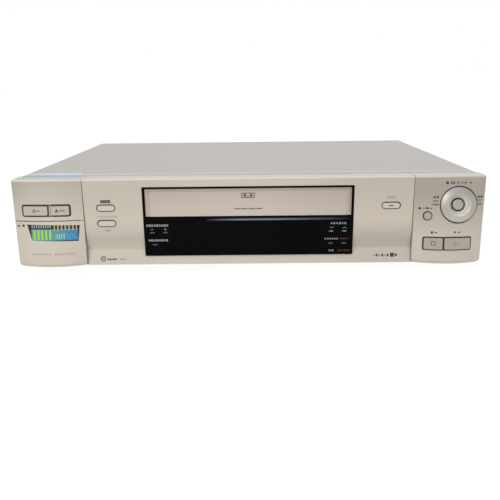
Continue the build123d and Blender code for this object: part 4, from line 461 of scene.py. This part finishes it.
# ---- Meshes --------------------------------------------------------------------------------------
def make_piece(name, body, points, faces, finish):
    """New mesh from points in millimetres, riding on a body."""
    mesh = bpy.data.meshes.new(name)
    mesh.from_pydata((np.asarray(points, float) * MM).tolist(), [], [list(face) for face in faces])
    mesh.materials.append(finish.material)
    mesh.update()
    made = bpy.data.objects.new(name, mesh)
    bpy.context.scene.collection.objects.link(made)
    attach(made, body)
    return made


def grid_faces(rows, columns, around_rows=False, around_columns=False):
    """Quads of a grid of points, closed round either way."""
    row, column = np.meshgrid(
        np.arange(rows - (not around_rows)), np.arange(columns - (not around_columns)), indexing="ij"
    )
    next_row, next_column = (row + 1) % rows, (column + 1) % columns
    corners = (row * columns + column, row * columns + next_column,
               next_row * columns + next_column, next_row * columns + column)
    return np.stack(corners, -1).reshape(-1, 4)


def together(parts):
    """One list of points and faces from several."""
    points, faces, count = [], [], 0
    for part_points, part_faces in parts:
        points.append(np.asarray(part_points, float))
        faces += [[int(index) + count for index in face] for face in part_faces]
        count += len(part_points)
    return np.vstack(points), faces


def rounded(x, z, width, height, corner, count=6):
    """Outline of a rounded rectangle, anticlockwise: a quarter turn at each corner."""
    angles = np.linspace(0, pi / 2, count)
    centres = ((1, 1), (-1, 1), (-1, -1), (1, -1))
    quarters = []
    for quarter, (east, north) in enumerate(centres):
        turned_angles = angles + quarter * pi / 2
        quarters.append(np.column_stack((
            x + east * (width / 2 - corner) + corner * np.cos(turned_angles),
            z + north * (height / 2 - corner) + corner * np.sin(turned_angles),
        )))
    return np.vstack(quarters)


def polygon(*corners):
    return np.array(corners, float)


def disc(x, z, radius, count=32):
    """Outline of a circle: equal steps of angle."""
    angle = np.linspace(0, tau, count, endpoint=False)
    return np.column_stack((x + radius * np.cos(angle), z + radius * np.sin(angle)))


def bar(x, z, width, height):
    return polygon(
        (x - width / 2, z - height / 2), (x + width / 2, z - height / 2),
        (x + width / 2, z + height / 2), (x - width / 2, z + height / 2),
    )


def arrow(x, z, width, height, side):
    """Triangle that points to one side."""
    tip, back = x + side * width / 2, x - side * width / 2
    corners = polygon((tip, z), (back, z + height / 2), (back, z - height / 2))
    return corners if side > 0 else corners[::-1]


def stroke(x, z, radius, start, end, thick, count=24):
    """Outline of a bent stroke: out along an arc of one radius and back along a smaller one."""
    angle = np.radians(np.linspace(start, end, count))
    outer = np.column_stack((x + radius * np.cos(angle), z + radius * np.sin(angle)))
    inner = np.column_stack((x + (radius - thick) * np.cos(angle), z + (radius - thick) * np.sin(angle)))
    return np.vstack((outer, inner[::-1]))


def chevron(x, z, width, height, thick, way):
    """Outline of a V, opening up or down."""
    half, rise = width / 2, way * height / 2
    outer = [(x - half, z - rise), (x, z + rise), (x + half, z - rise)]
    inner = [(px, pz - way * thick) for px, pz in outer[::-1]]
    corners = polygon(*outer, *inner)
    return corners[::-1] if way > 0 else corners


def slab(outline, face, proud, sunk):
    """Thin mark on a face: its outline pushed out by proud and closed behind the face by sunk.
    A pair of outlines makes a band between them."""
    hollow = isinstance(outline, tuple)
    loops = outline if hollow else (outline,)
    count = len(loops[0])
    step = np.arange(count)
    after = (step + 1) % count
    layers = []
    for offset in (-proud, sunk):
        for loop in loops:
            across, height = loop.T
            layers.append(np.column_stack((across, face(across, height) + offset, height)))
    points = np.vstack(layers)
    if hollow:
        faces = [
            *np.column_stack((step, after, after + count, step + count)),
            *np.column_stack((step + 2 * count, step + 3 * count, after + 3 * count, after + 2 * count)),
            *np.column_stack((after, step, step + 2 * count, after + 2 * count)),
            *np.column_stack((step + count, after + count, after + 3 * count, step + 3 * count)),
        ]
    else:
        faces = [step, step[::-1] + count, *np.column_stack((after, step, step + count, after + count))]
    return points, faces


def face_marks(name, body, marks, face, marking, proud=0.06, sunk=0.1):
    """One piece of thin marks on a face: print, and also the black bands and the light bars that paint shade
    and highlights.
    """
    points, faces = together([slab(mark, face, proud, sunk) for mark in marks])
    return make_piece(name, body, points, faces, mark_finishes[marking])


# ---- Faces of the front --------------------------------------------------------------------------
def bow_arc(middle_bow, end_bow, end_x):
    """Arc across a cheek, ahead by middle_bow at its middle and end_bow at its ends, from the seam to end_x:
    its radius, its first and last angle, and its bow."""
    half, rise = SIDE_X - MIDDLE_X, middle_bow - end_bow
    radius = (half**2 + rise**2) / (2 * rise)
    return radius, -asin(half / radius), asin((end_x - MIDDLE_X) / radius), middle_bow


TOP_ARC = bow_arc(0.3, 0.0, 212.06)
BELLY_ARC = bow_arc(10.0, 3.0, 209.8)


def on_arc(arc, share):
    """Point on an arc after a share of its turn: x and depth."""
    radius, start, end, bow = arc
    angle = start + (end - start) * share
    return MIDDLE_X + radius * np.sin(angle), FRONT_Y - bow + radius * (1 - np.cos(angle))


def cheek_face(x, z):
    """Depth of the cheeks' faces. Straight lines join the points of the two arcs at equal shares of their
    turns; the share whose line passes through x is closed in on step by step."""
    fall = np.clip((PANEL_TOP - z) / (PANEL_TOP - BELLY_Z), 0, 1)
    rough_width = 60.0
    share = (np.abs(x) - SEAM_X) / rough_width
    for _ in range(4):
        met = (1 - fall) * on_arc(TOP_ARC, share)[0] + fall * on_arc(BELLY_ARC, share)[0]
        share = share + (np.abs(x) - met) / rough_width
    return (1 - fall) * on_arc(TOP_ARC, share)[1] + fall * on_arc(BELLY_ARC, share)[1]


def flat_at(depth):
    return lambda x, z: np.full(np.shape(x), float(depth))


def cap_face(proud):
    return lambda x, z: cheek_face(x, z) - proud


def lip_face(x, z):
    """Depth of the centre panel's lip, which flares forward from the groove to the bottom edge."""
    return GROOVE_Y + (LIP_Y - GROOVE_Y) * (GROOVE_Z - z) / (GROOVE_Z - LIP_Z)


on_panel = flat_at(FRONT_Y)
CAP_PROUD = 0.9
on_cap = cap_face(CAP_PROUD)
face_marks("menu_mark", "case", [
    rounded(-130.2, 68.6, 9.0, 2.7, 0.3),
], on_panel, "dark")
face_marks("menu_mark_lines", "case", [
    bar(-133.0, 68.6, 1.6, 1.1), bar(-130.7, 68.6, 1.6, 0.5), bar(-128.2, 68.6, 1.8, 1.1),
], flat_at(FRONT_Y - 0.06), "white", 0.04, 0.04)
face_marks("program_marks", "case", [
    *[bar(-137.2 + 2.3 * step, 54.9, 1.3, 0.4) for step in range(8)],
    *[bar(-137.2 + 2.3 * step, 53.8, 0.8 + 0.4 * (step % 2), 0.3) for step in range(8)],
], on_panel, "soft")
face_marks("select_marks", "case", [
    arrow(-131.6, 41.5, 1.6, 1.5, -1), bar(-129.9, 41.5, 0.5, 1.5), arrow(-128.2, 41.5, 1.6, 1.5, 1),
], on_panel, "soft")
face_marks("display_marks", "case", [
    (disc(126.6, 70.1, 1.1), disc(126.6, 70.1, 0.8)), bar(129.4, 70.7, 2.2, 0.4),
    bar(129.4, 69.5, 2.2, 0.4), (disc(132.2, 70.1, 1.1), disc(132.2, 70.1, 0.8)),
], on_panel, "soft")
face_marks("upper_right_dash", "upper_right_button", [
    rounded(130.0, 62.6, 4.6, 0.9, 0.4),
], flat_at(limits("upper_right_button")[0][1]), "dark")
face_marks("left_lip_marks", "case", [
    (disc(-136.0, 14.3, 2.5), disc(-136.0, 14.3, 1.7)), disc(-136.0, 14.3, 0.7),
    *[bar(-131.6 + 1.9 * step, 13.7, 1.3, 1.3 + 0.6 * (step % 2)) for step in range(5)],
], lip_face, "dark")
face_marks("left_lip_dashes", "case", [
    bar(-119.6 + 2.1 * step, 13.7, 1.3, 0.9) for step in range(3)
], lip_face, "soft")
face_marks("right_lip_dashes", "case", [
    bar(117.0 + 2.5 * step, 15.4, 1.6, 0.8 + 1.6 * (step % 2)) for step in range(6)
], lip_face, "dark")
face_marks("right_lip_marks", "case", [
    rounded(133.4, 15.6, 3.4, 3.6, 0.4), arrow(137.3, 15.6, 3.0, 3.4, 1),
], lip_face, "dark")

door_face = flat_at(limits("cassette_door")[0][1])
face_marks("cassette_sign", "cassette_door", [
    (rounded(0.0, 73.0, 12.4, 4.6, 0.7), rounded(0.0, 73.0, 11.0, 3.2, 0.3)),
    disc(-2.9, 73.0, 1.2), disc(2.9, 73.0, 1.2), bar(0.0, 72.3, 2.6, 0.6),
], door_face, "dark")
face_marks("door_dashes", "cassette_door", [
    bar(-12.3 + 2.24 * step, 60.6, 1.6, 0.8 + 0.5 * (step % 3 == 1)) for step in range(12)
], door_face, "dark")
# Painted shade: two thin darker lines on the door, where a groove's shade would fall.
face_marks("door_groove_shade", "cassette_door", [
    bar(-90.6, 67.0, 0.35, 22.0), bar(92.9, 67.0, 0.35, 22.0),
], door_face, "pale", 0.04)

face_marks("power_mark", "power_button", [
    stroke(-194.4, 61.3, 1.45, 125, 415, 0.6, 30), bar(-194.4, 62.5, 0.6, 1.8), bar(-190.9, 61.4, 2.2, 0.9),
], on_cap, "dark")
face_marks("eject_mark", "eject_button", [
    polygon((-175.5, 61.2), (-172.3, 61.2), (-173.9, 62.9)), bar(-173.9, 60.4, 3.2, 0.8),
    bar(-170.3, 61.4, 1.9, 0.9), bar(-167.8, 61.4, 1.9, 0.9),
], on_cap, "dark")
face_marks("flap_marks", "jack_flap", [
    arrow(-211.0, 47.4, 3.0, 2.2, -1), disc(-205.8, 47.8, 1.25),
], cheek_face, "dark", 0.1)
face_marks("flap_dashes", "jack_flap", [
    *[bar(-198.6 + 2.3 * step, 21.6, 1.5, 1.5) for step in range(8)],
    *[bar(-177.2 + 2.3 * step, 21.4, 1.5, 1.5) for step in range(8)],
], cheek_face, "pale")
face_marks("ring_marks", "case", [
    disc(179.4, 82.9, 1.3), bar(183.2, 82.9, 1.3, 2.2), bar(185.4, 82.9, 1.3, 2.2),
    (disc(189.0, 82.9, 1.1), disc(189.0, 82.9, 0.7)), bar(192.4, 82.9, 2.4, 0.6),
    arrow(196.0, 82.9, 2.0, 2.0, 1), arrow(200.6, 82.9, 2.0, 2.0, 1),
    arrow(168.0, 70.2, 2.5, 2.8, -1), arrow(170.8, 70.2, 2.5, 2.8, -1),
    bar(167.2, 63.5, 0.7, 2.0), arrow(169.0, 63.5, 1.9, 2.0, -1), arrow(171.0, 63.5, 1.9, 2.0, -1),
    arrow(208.6, 70.1, 2.5, 2.8, 1), arrow(211.3, 70.1, 2.5, 2.8, 1),
    arrow(207.0, 63.5, 1.9, 2.0, 1), arrow(209.0, 63.5, 1.9, 2.0, 1), bar(210.6, 63.5, 0.7, 2.0),
], cheek_face, "dark", 0.1)
face_marks("slow_marks", "case", [
    (bar(x, 66.8, 2.0, 1.5), bar(x, 66.8, 1.2, 0.7)) for x in (168.3, 170.8, 207.4, 209.9)
], cheek_face, "soft", 0.1)
face_marks("record_marks", "case", [
    disc(155.7, 60.0, 1.2), bar(159.4, 60.2, 1.8, 0.8),
    bar(162.3, 60.2, 1.9, 1.9), bar(165.2, 60.2, 2.1, 0.8),
], cheek_face, "dark")
face_marks("tape_row_marks", "case", [
    rounded(167.2, 38.2, 2.1, 2.1, 0.2), bar(170.6, 38.2, 2.2, 0.9),
    arrow(188.2, 38.4, 2.3, 2.3, 1), bar(191.8, 38.4, 2.2, 0.9),
], cheek_face, "dark")
face_marks("stop_mark", "stop_button", [
    (bar(168.6, 28.5, 4.0, 3.6), bar(168.6, 28.5, 3.1, 2.7)),
], on_cap, "dark")
face_marks("play_mark", "play_button", [
    (arrow(189.4, 28.6, 5.4, 3.8, 1), arrow(189.0, 28.6, 3.6, 2.5, 1)),
], on_cap, "green")

on_window = flat_at(limits("display_window")[0][1])
face_marks("window_marks", "case", [
    *[rounded(-93.0 + 2.3 * step, 45.9, 1.7, 2.0 + 0.4 * (step % 3 == 1), 0.2) for step in range(9)],
    bar(-88.8, 42.2, 2.6, 0.5), bar(-76.4, 42.2, 2.2, 0.5),
    bar(-76.4, 42.9, 0.5, 0.9), bar(-76.4, 41.5, 0.5, 0.9),
    *[rounded(-91.6 + 2.3 * step, 31.8, 1.7, 1.8 + 0.4 * (step % 2), 0.2) for step in range(8)],
    *[rounded(76.4 + 2.5 * step, 46.6, 1.5, 1.5 + 0.5 * (step % 2), 0.2) for step in range(6)],
    chevron(76.6, 42.5, 3.8, 1.3, 0.5, -1), chevron(88.4, 42.5, 3.8, 1.3, 0.5, 1),
    *[rounded(71.0 + 2.2 * step, 32.0, 1.3, 1.5, 0.2) for step in range(6)],
    rounded(75.2, 20.7, 1.8, 1.6, 0.2), rounded(77.9, 20.7, 1.8, 1.6, 0.2),
], on_window, "white", 0.04, 0.06)
face_marks("window_red_marks", "case", [
    *[rounded(85.2 + 2.1 * step, 32.0, 1.2, 1.4, 0.2) for step in range(4)],
    *[rounded(83.4 + 1.9 * step, 20.7, 1.1, 1.3, 0.2) for step in range(6)],
], on_window, "red", 0.04, 0.06)
# Painted highlights: short light bars along the top of each small key, standing in for the light caught on
# its upper edge.
KEY_HIGHLIGHTS = {
    "counter_rocker": [(-88.6, 39.2), (-76.6, 39.2)], "channel_rocker": [(76.1, 39.2), (88.1, 39.2)],
    "clock_key": [(-86.5, 27.8)], "timer_key": [(75.7, 27.8)], "speed_key": [(88.0, 27.8)],
}
for key, painted_highlights in KEY_HIGHLIGHTS.items():
    face_marks(f"{key}_tips", key, [
        rounded(x, z + 0.2, 3.0, 0.4, 0.15) for x, z in painted_highlights
    ], flat_at(limits(key)[0][1]), "silver" if key == "channel_rocker" else "soft", 0.03)


# ---- Painted shade: black bands in the buttons' openings and gaps --------------------------------
SHADE_BAND = 0.42                # of the gap round a cap, taken up by the black band that paints the gap's shade


def split(outline, parts=8):
    """The outline with each side cut into equal parts, so that it follows a bowed face."""
    share = np.arange(parts)[None, :, None] / parts
    here, there = outline[:, None, :], np.roll(outline, -1, axis=0)[:, None, :]
    return (here + (there - here) * share).reshape(-1, 2)


def shade_band(x, z, width, height, corner, left, right, lap):
    """Outlines of a black band that paints the shade in an opening's gap: over the edge of the opening on the
    outside, short of the cap on the inside.
    """
    outer = rounded(x + (right - left) / 2, z, width + left + right, height + 2 * lap, corner + lap)
    return split(outer), split(rounded(x, z, width - 2 * SHADE_BAND, height - 2 * SHADE_BAND, corner - SHADE_BAND))


SHADE_BAND_DEPTH = 1.2
face_marks("panel_button_shade_bands", "case", [
    shade_band(x, z, 17.2, 6.3, 3.15, 0.25, 0.25, 0.25)
    for x, z in ((-PILL_X, PILL_Z), (-PILL_X, LOW_PILL_Z), (PILL_X, PILL_Z))
], on_panel, "black", 0.05, SHADE_BAND_DEPTH)
face_marks("cheek_button_shade_bands", "case", [
    shade_band(POWER_X, POWER_Z, 23.4, 9.6, 1.2, 0.9, 0.3, 0.85),
    shade_band(EJECT_X, POWER_Z, 17.8, 9.6, 1.2, 0.0, 0.9, 0.85),
    shade_band(STOP_X, PLAY_Z, 17.7, 11.7, 1.2, 0.6, 0.2, 0.45),
    shade_band(PLAY_X, PLAY_Z, 25.1, 11.7, 1.2, 0.2, 0.5, 0.45),
    (disc(RECORD_X, RECORD_Z, 4.3), disc(RECORD_X, RECORD_Z, 4.0 - SHADE_BAND)),
    (disc(RING_X, RING_Z, 17.0, 96), disc(RING_X, RING_Z, 16.7 - SHADE_BAND, 96)),
], cheek_face, "black", 0.06, SHADE_BAND_DEPTH)
# Painted shade: black bars in the gaps between neighbouring caps.
face_marks("button_divider_shade", "case", [
    bar(177.6, PLAY_Z, 0.9, 12.4), bar(-181.55, POWER_Z, 0.9, 10.4),
    bar(-180.8, 66.6, 2.4, 1.0), bar(-180.8, 56.3, 2.4, 1.0),
], cheek_face, "black", 0.07, SHADE_BAND_DEPTH)
# Painted shade: a black line along the flap's top seam.
face_marks("flap_seam_shade", "case", [
    bar(x, 52.1, 3.0, 0.4) for x in np.arange(-211.0, -152.0, 2.95)
], cheek_face, "black", 0.04)


# ---- Stickers ------------------------------------------------------------------------------------
def sheet_piece(name, body, front, back, finish):
    """Thin closed sheet between two grids of points, its front grid turned outwards."""
    rows, columns = front.shape[:2]
    points = np.concatenate((front.reshape(-1, 3), back.reshape(-1, 3)))
    outside = grid_faces(rows, columns)
    inside = outside[:, ::-1] + rows * columns
    index = np.arange(rows * columns).reshape(rows, columns)
    rim = np.concatenate((index[0, :-1], index[:-1, -1], index[-1, :0:-1], index[:0:-1, 0]))
    after = np.roll(rim, -1)
    sides = np.column_stack((after, rim, rim + rows * columns, after + rows * columns))
    return make_piece(name, body, points, np.concatenate((outside, inside, sides)), finish)


label = Finish("flap_label", Specular_IOR_Level=0.5)
label_across, _, label_height = label.axes()
PRINT_SHIFT_X, PRINT_SHIFT_Z = 1.0, 1.3     # of the whole printed pattern on the sticker
label_across, label_height = label_across - PRINT_SHIFT_X, label_height - PRINT_SHIFT_Z


def window_of(low_x, high_x, low_z, high_z, soft=0.25):
    """1 inside a rectangle of the label and 0 outside it."""
    sides = label_across.past(low_x, soft) * (1 - label_across.past(high_x, soft))
    return sides * label_height.past(low_z, soft) * (1 - label_height.past(high_z, soft))


ground = label.between(label_across.past(-176.0, 30.0), (0.12, 0.36, 0.24), (0.04, 0.20, 0.40))
blue_field = window_of(-199.5, -157.4, 32.9, 43.2)
colour = label.between(blue_field, (0.003, 0.003, 0.004), ground)
steps = (label_across * 1.75).sine().past(0.1, 0.4)
tall = window_of(-198.2, -179.8, 33.8, 42.4) * steps
colour = label.between(tall * 0.95, colour, (0.42, 0.62, 0.08))
lower_bars = window_of(-177.6, -169.0, 34.2, 39.2) * (label_across * 3.1).sine().past(0.0, 0.5)
colour = label.between(lower_bars * 0.8, colour, (0.35, 0.62, 0.66))
slanted = (label_across * 1.4 + label_height * 1.4).sine().past(0.0, 0.8)
sweep = window_of(-168.0, -159.0, 34.2, 39.4) * slanted
colour = label.between(sweep * 0.8, colour, (0.05, 0.34, 0.66))
dots = window_of(-199.6, -181.0, 44.4, 47.0) * (label_across * 3.0).sine().past(-0.1, 0.5)
colour = label.between(dots * 0.75, colour, (0.42, 0.46, 0.62))
ticks = window_of(-178.6, -158.0, 42.0, 47.0) * (label_across * 1.9 + 0.8).sine().past(0.25, 0.4)
colour = label.between(ticks * 0.8, colour, (0.55, 0.50, 0.18))
label.feed("Base Color", colour)
label.feed("Roughness", 0.22 + label.grain(2.0, 2.0) * 0.08)
share_down, share_across = np.meshgrid(np.linspace(0, 1, 17), np.linspace(0, 1, 49), indexing="ij")
label_z = 48.9 - 1.2 * share_across - 14.6 * share_down
label_left = -202.2 + 3.7 * share_down
label_right = -154.6 - 1.8 * share_down
label_x = label_left + (label_right - label_left) * share_across
depth = cheek_face(label_x, label_z)
sheet_piece(
    "flap_label", "jack_flap",
    np.stack((label_x, depth - 0.12, label_z), -1)[::-1],
    np.stack((label_x, depth + 0.05, label_z), -1)[::-1],
    label,
)

film = Finish("top_film", Specular_IOR_Level=0.4, Coat_Weight=0.2, Coat_Roughness=0.08)
across, deep, height = film.axes()
sway = (film.grain(14.0, 2.0) - 0.5) * 14.0
tint = film.node("ShaderNodeValToRGB", {"stops": [
    (0.0, (0.155, 0.27, 0.21)), (0.3, (0.16, 0.28, 0.225)),
    (0.45, (0.21, 0.28, 0.37)), (1.0, (0.195, 0.27, 0.40)),
]}, {0: (across + 214.0 + sway) / 58.0})
stripe = (deep * 0.55 + across * 0.12).sine().past(0.55, 0.5)
pattern = film.between(stripe * 0.2, tint, (0.42, 0.46, 0.54))
# Painted highlight: a lighter band across the film just behind the cover's front edge.
painted_highlight_streak = deep.past(-134.0, 3.0) * (1 - deep.past(-128.0, 3.0)) * across.past(-192.0, 40.0)
pattern = film.between(painted_highlight_streak * 0.6, pattern, (0.52, 0.60, 0.72))
# Painted highlight: the film turns lighter where it rises over the cover's front edge.
step = height.past(PANEL_TOP + 0.2, 0.08) * (1 - height.past(COVER_TOP, 0.08))
film.feed("Base Color", film.between(step * 0.8, pattern, film.between(0.45, tint, (0.70, 0.76, 0.80))))
film.feed("Roughness", 0.18 + film.grain(4.0, 2.0) * 0.1)
film.relief(film.grain(5.0, 1.0), 0.05)
COVER_BEND_X, COVER_BEND = 208.2, 6.0     # where the cover bends down at its side, and the bend's radius
across_share, back_share = np.meshgrid(np.linspace(0, 1, 33), np.linspace(0, 1, 41), indexing="ij")
film_y = -153.0 + 29.0 * back_share
on_cover = np.clip((film_y + 140.9) / 1.2, 0, 1)
on_cover = on_cover * on_cover * (3 - 2 * on_cover)
left_edge = -213.2 + 1.2 * on_cover
right_edge = -159.0 + 6.5 * (1 - back_share)
film_x = left_edge + (right_edge - left_edge) * across_share
drop = COVER_BEND - np.sqrt(COVER_BEND**2 - np.clip(-film_x - COVER_BEND_X, 0, 5.9) ** 2)
film_z = PANEL_TOP + (COVER_TOP - PANEL_TOP - drop) * on_cover
sheet_piece(
    "top_film", "case",
    np.stack((film_x, film_y, film_z + 0.1), -1)[::-1, ::-1].transpose(1, 0, 2),
    np.stack((film_x, film_y, film_z + 0.01), -1)[::-1, ::-1].transpose(1, 0, 2),
    film,
)


# ---- Screws, sockets and connectors --------------------------------------------------------------
def carried(points, centre, axis):
    """Points made about +Z, turned so that +Z becomes the axis and moved to the centre."""
    turn = np.array(Vector(axis).to_track_quat("Z", "Y").to_matrix())
    return points @ turn.T + np.array(centre)


def lathe(profile, centre, axis, count=32):
    """Closed solid of revolution: a closed profile of radius and height carried round the axis."""
    profile = np.array(profile, float)
    angle = np.linspace(0, tau, count, endpoint=False)[:, None]
    radius, height = profile.T
    points = np.stack((np.cos(angle) * radius, np.sin(angle) * radius, np.ones_like(angle) * height), -1)
    return carried(points.reshape(-1, 3), centre, axis), grid_faces(count, len(profile), True, True)


def cross_head(radius, crown, centre, axis, shank, length, rows=15, count=48):
    """Pan-head screw: the head's height falls with the square of the radius, less a cross-shaped recess
    that tapers to the centre; the rim drops to a shank below."""
    share = np.linspace(1, 0.02, rows)[:, None]
    angle = np.linspace(0, tau, count, endpoint=False)[None, :]
    x, y = radius * share * np.cos(angle), radius * share * np.sin(angle)
    arm = np.minimum(np.abs(x), np.abs(y)) / (0.13 * radius)
    reach = np.maximum(np.abs(x), np.abs(y)) / (0.62 * radius)
    recess = np.clip(1.4 - arm, 0, 1) * np.clip((1 - reach) * 4, 0, 1)
    z = crown * (1 - 0.45 * share**2) - 0.7 * crown * recess
    top = np.stack((x, y, z), -1)
    skirt = np.array([(shank, -length), (shank, 0.0), (radius, 0.0)])[:, :, None]
    below = np.stack((
        skirt[:, 0] * np.cos(angle), skirt[:, 0] * np.sin(angle), skirt[:, 1] * np.ones_like(angle),
    ), -1)
    rings = np.concatenate((below, top))
    last = (len(rings) - 1) * count
    faces = [*grid_faces(len(rings), count, False, True), np.arange(count)[::-1], np.arange(count) + last]
    return carried(rings.reshape(-1, 3), centre, axis), faces


SCREWS = [
    *[((side * 214.2, y, 17.0), (side, 0, 0), 4.0, 0.8, 6.0) for side in (-1, 1) for y in (-60, 100)],
    *[((x, REAR_Y, 82.0), (0, 1, 0), 3.0, 1.8, 6.0) for x in (-150, 0, 205)],
    *[((side * 92.0, y, 25.6), (0, 0, 1), 3.0, 1.8, 9.0) for side in (-1, 1) for y in (-110, 72)],
]
points, faces = together([
    cross_head(radius, crown, centre, axis, 1.4, length) for centre, axis, radius, crown, length in SCREWS
])
steel = finishes["machined_steel"]
screw_piece = make_piece("cross_head_screws", "case", points, faces, steel)
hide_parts("screws")

SOCKET_COLOURS = {"yellow": (0.75, 0.52, 0.02), "white": (0.70, 0.70, 0.66), "red": (0.52, 0.02, 0.02)}
REAR_SOCKET_X, REAR_SOCKET_Z = (102.5, 121.5), {"yellow": 62.0, "white": 48.0, "red": 34.0}
FRONT_SOCKET_X, FRONT_SOCKET_Z = {"yellow": -200.5, "white": -182.5, "red": -164.5}, 30.0
RECESS_Y = -147.2           # floor of the recess behind the flap
BACKWARD, FORWARD = (0, 1, 0), (0, -1, 0)
COLLAR = [(4.3, 0.0), (6.0, 0.0), (6.0, 0.7), (5.6, 1.1), (4.3, 1.1)]
INSERT = [(1.7, -1.2), (2.5, -1.2), (2.5, 0.0), (1.9, 0.0), (1.7, -0.3)]
SHELL = [(2.62, 1.1), (4.2, 1.1), (4.2, 7.4), (4.0, 8.02), (2.62, 8.02)]
for tint_name, tint_colour in SOCKET_COLOURS.items():
    socket_finish = moulded(f"{tint_name}_socket_plastic", tint_colour, 0.35, 0.0, 0.03)
    rear_z, front_x = REAR_SOCKET_Z[tint_name], FRONT_SOCKET_X[tint_name]
    points, faces = together([
        *[lathe(COLLAR, (x, REAR_Y, rear_z), BACKWARD) for x in REAR_SOCKET_X],
        lathe(COLLAR, (front_x, RECESS_Y, FRONT_SOCKET_Z), FORWARD),
        *[lathe(INSERT, (x, REAR_Y + 8.0, rear_z), BACKWARD) for x in REAR_SOCKET_X],
        lathe(INSERT, (front_x, RECESS_Y - 8.0, FRONT_SOCKET_Z), FORWARD),
    ])
    make_piece(f"{tint_name}_socket_collars", "case", points, faces, socket_finish)
points, faces = together([
    *[lathe(SHELL, (x, REAR_Y, z), BACKWARD) for x in REAR_SOCKET_X for z in REAR_SOCKET_Z.values()],
    *[lathe(SHELL, (x, RECESS_Y, FRONT_SOCKET_Z), FORWARD) for x in FRONT_SOCKET_X.values()],
])
make_piece("socket_shells", "case", points, faces, finishes["tuner_plate"])


def threaded(radius, depth, pitch, length, start, centre, axis, count=40, per_turn=8):
    """Screw thread on a sleeve: the radius follows a triangle wave of height less angle over the pitch,
    faded in at both ends, and closed by a straight bore."""
    rows = int(length / pitch * per_turn)
    height = np.linspace(0, length, rows)[:, None]
    angle = np.linspace(0, tau, count, endpoint=False)[None, :]
    phase = (height / pitch - angle / tau) % 1
    fade = np.clip(np.minimum(height, length - height) / (0.6 * pitch), 0, 1)
    wave = radius - depth * (1 - np.abs(2 * phase - 1) * fade)
    bore = np.full_like(wave, radius - depth - 0.25)
    level = (height + start) * np.ones_like(angle)
    outer, inner = (np.stack((r * np.cos(angle), r * np.sin(angle), level), -1) for r in (wave, bore))
    rings = np.concatenate((outer, inner[::-1]))
    return carried(rings.reshape(-1, 3), centre, axis), grid_faces(len(rings), count, True, True)


AERIAL_X, AERIAL_Z = 178.0, (62.0, 38.0)
points, faces = together([
    threaded(5.1, 0.3, 0.8, 7.5, 2.4, (AERIAL_X, REAR_Y, z), BACKWARD) for z in AERIAL_Z
])
make_piece("aerial_threads", "case", points, faces, steel)

RING_CENTRE, RING_AXIS = (RING_X, -163.472, RING_Z), (0, -0.992568, 0.121688)
# Painted shade: a thin black ring round the pause button, standing in for the shade in the gap of the ring's
# well.
points, faces = lathe([(5.5, -2.6), (5.7, -2.6), (5.7, -1.35), (5.5, -1.4)], RING_CENTRE, RING_AXIS, 64)
make_piece("pause_shade_band", "shuttle_ring", points, faces, mark_finishes["black"])

gauze = Finish("vent_gauze")
across, _, height = gauze.axes()
weave = ((across * 9.0).sine() * (height * 9.0).sine()).past(0.0, 0.6)
gauze.feed("Base Color", gauze.between(weave, (0.010, 0.010, 0.011), (0.030, 0.030, 0.031)))
gauze.feed("Roughness", 0.8 + gauze.grain(1.5) * 0.15)
gauze.relief(weave, 0.03)
gauze_x, gauze_z = np.meshgrid(np.linspace(-112.0, 32.0, 25), np.linspace(26.0, 74.0, 9))
sheet_piece(
    "vent_gauze", "case",
    np.stack((gauze_x, np.full_like(gauze_x, 158.35), gauze_z), -1),
    np.stack((gauze_x, np.full_like(gauze_x, 158.75), gauze_z), -1),
    gauze,
)


# ---- Studio --------------------------------------------------------------------------------------
def stage_sheet(name, corners, finish):
    mesh = bpy.data.meshes.new(name)
    mesh.from_pydata(corners, [], [(0, 1, 2, 3)])
    mesh.materials.append(finish.material)
    made = bpy.data.objects.new(name, mesh)
    bpy.context.scene.collection.objects.link(made)


def seen_directly(finish):
    """1 for rays from the camera, from a mirror or through glass."""
    path = {name: finish.node("ShaderNodeLightPath", output=name)
            for name in ("Is Camera Ray", "Is Glossy Ray", "Is Transmission Ray")}
    return path["Is Camera Ray"].larger(path["Is Glossy Ray"]).larger(path["Is Transmission Ray"])


floor = Finish("pale_floor", Base_Color=(0.80, 0.80, 0.79), Roughness=0.95, Specular_IOR_Level=0.0)
glow = floor.node("ShaderNodeEmission", inputs={"Color": (1, 1, 1), "Strength": 1.06})
output = floor.tree.nodes["Material Output"]
mixed = floor.node("ShaderNodeMixShader", inputs={
    0: seen_directly(floor) * 0.9, 1: Wire(floor, floor.shader.outputs[0]), 2: glow,
})
floor.tree.links.new(mixed.socket, output.inputs["Surface"])
stage_sheet("floor", [(-12, -12, 0), (12, -12, 0), (12, 12, 0), (-12, 12, 0)], floor)


class Surroundings(Finish):
    """The world's nodes, made as a material's are."""

    def __init__(self):
        self.world = bpy.data.worlds.new("studio")
        bpy.context.scene.world = self.world
        self.world.use_nodes = True
        self.tree = self.world.node_tree


studio = Surroundings()
strength = seen_directly(studio) * 0.35 + 0.65
background = studio.tree.nodes["Background"]
background.inputs["Color"].default_value = (1.0, 1.0, 1.0, 1)
studio.join(background.inputs["Strength"], strength)


def softbox(name, place, target, size, power, colour):
    """Large square lamp aimed at a point."""
    lamp = bpy.data.lights.new(name, "AREA")
    lamp.shape = "RECTANGLE"
    lamp.size, lamp.size_y = size
    lamp.energy = power
    lamp.color = colour
    made = bpy.data.objects.new(name, lamp)
    bpy.context.scene.collection.objects.link(made)
    aim = Vector(target) - Vector(place)
    made.matrix_world = Matrix.Translation(place) @ aim.to_track_quat("-Z", "Y").to_matrix().to_4x4()


softbox("top_softbox", (0.1, 0.15, 1.7), (0, 0, 0.05), (1.4, 1.0), 11.0, (1.0, 0.99, 0.97))
softbox("front_softbox", (-0.9, -1.6, 1.1), (0, -0.1, 0.05), (1.1, 0.9), 13.0, (1.0, 0.985, 0.96))
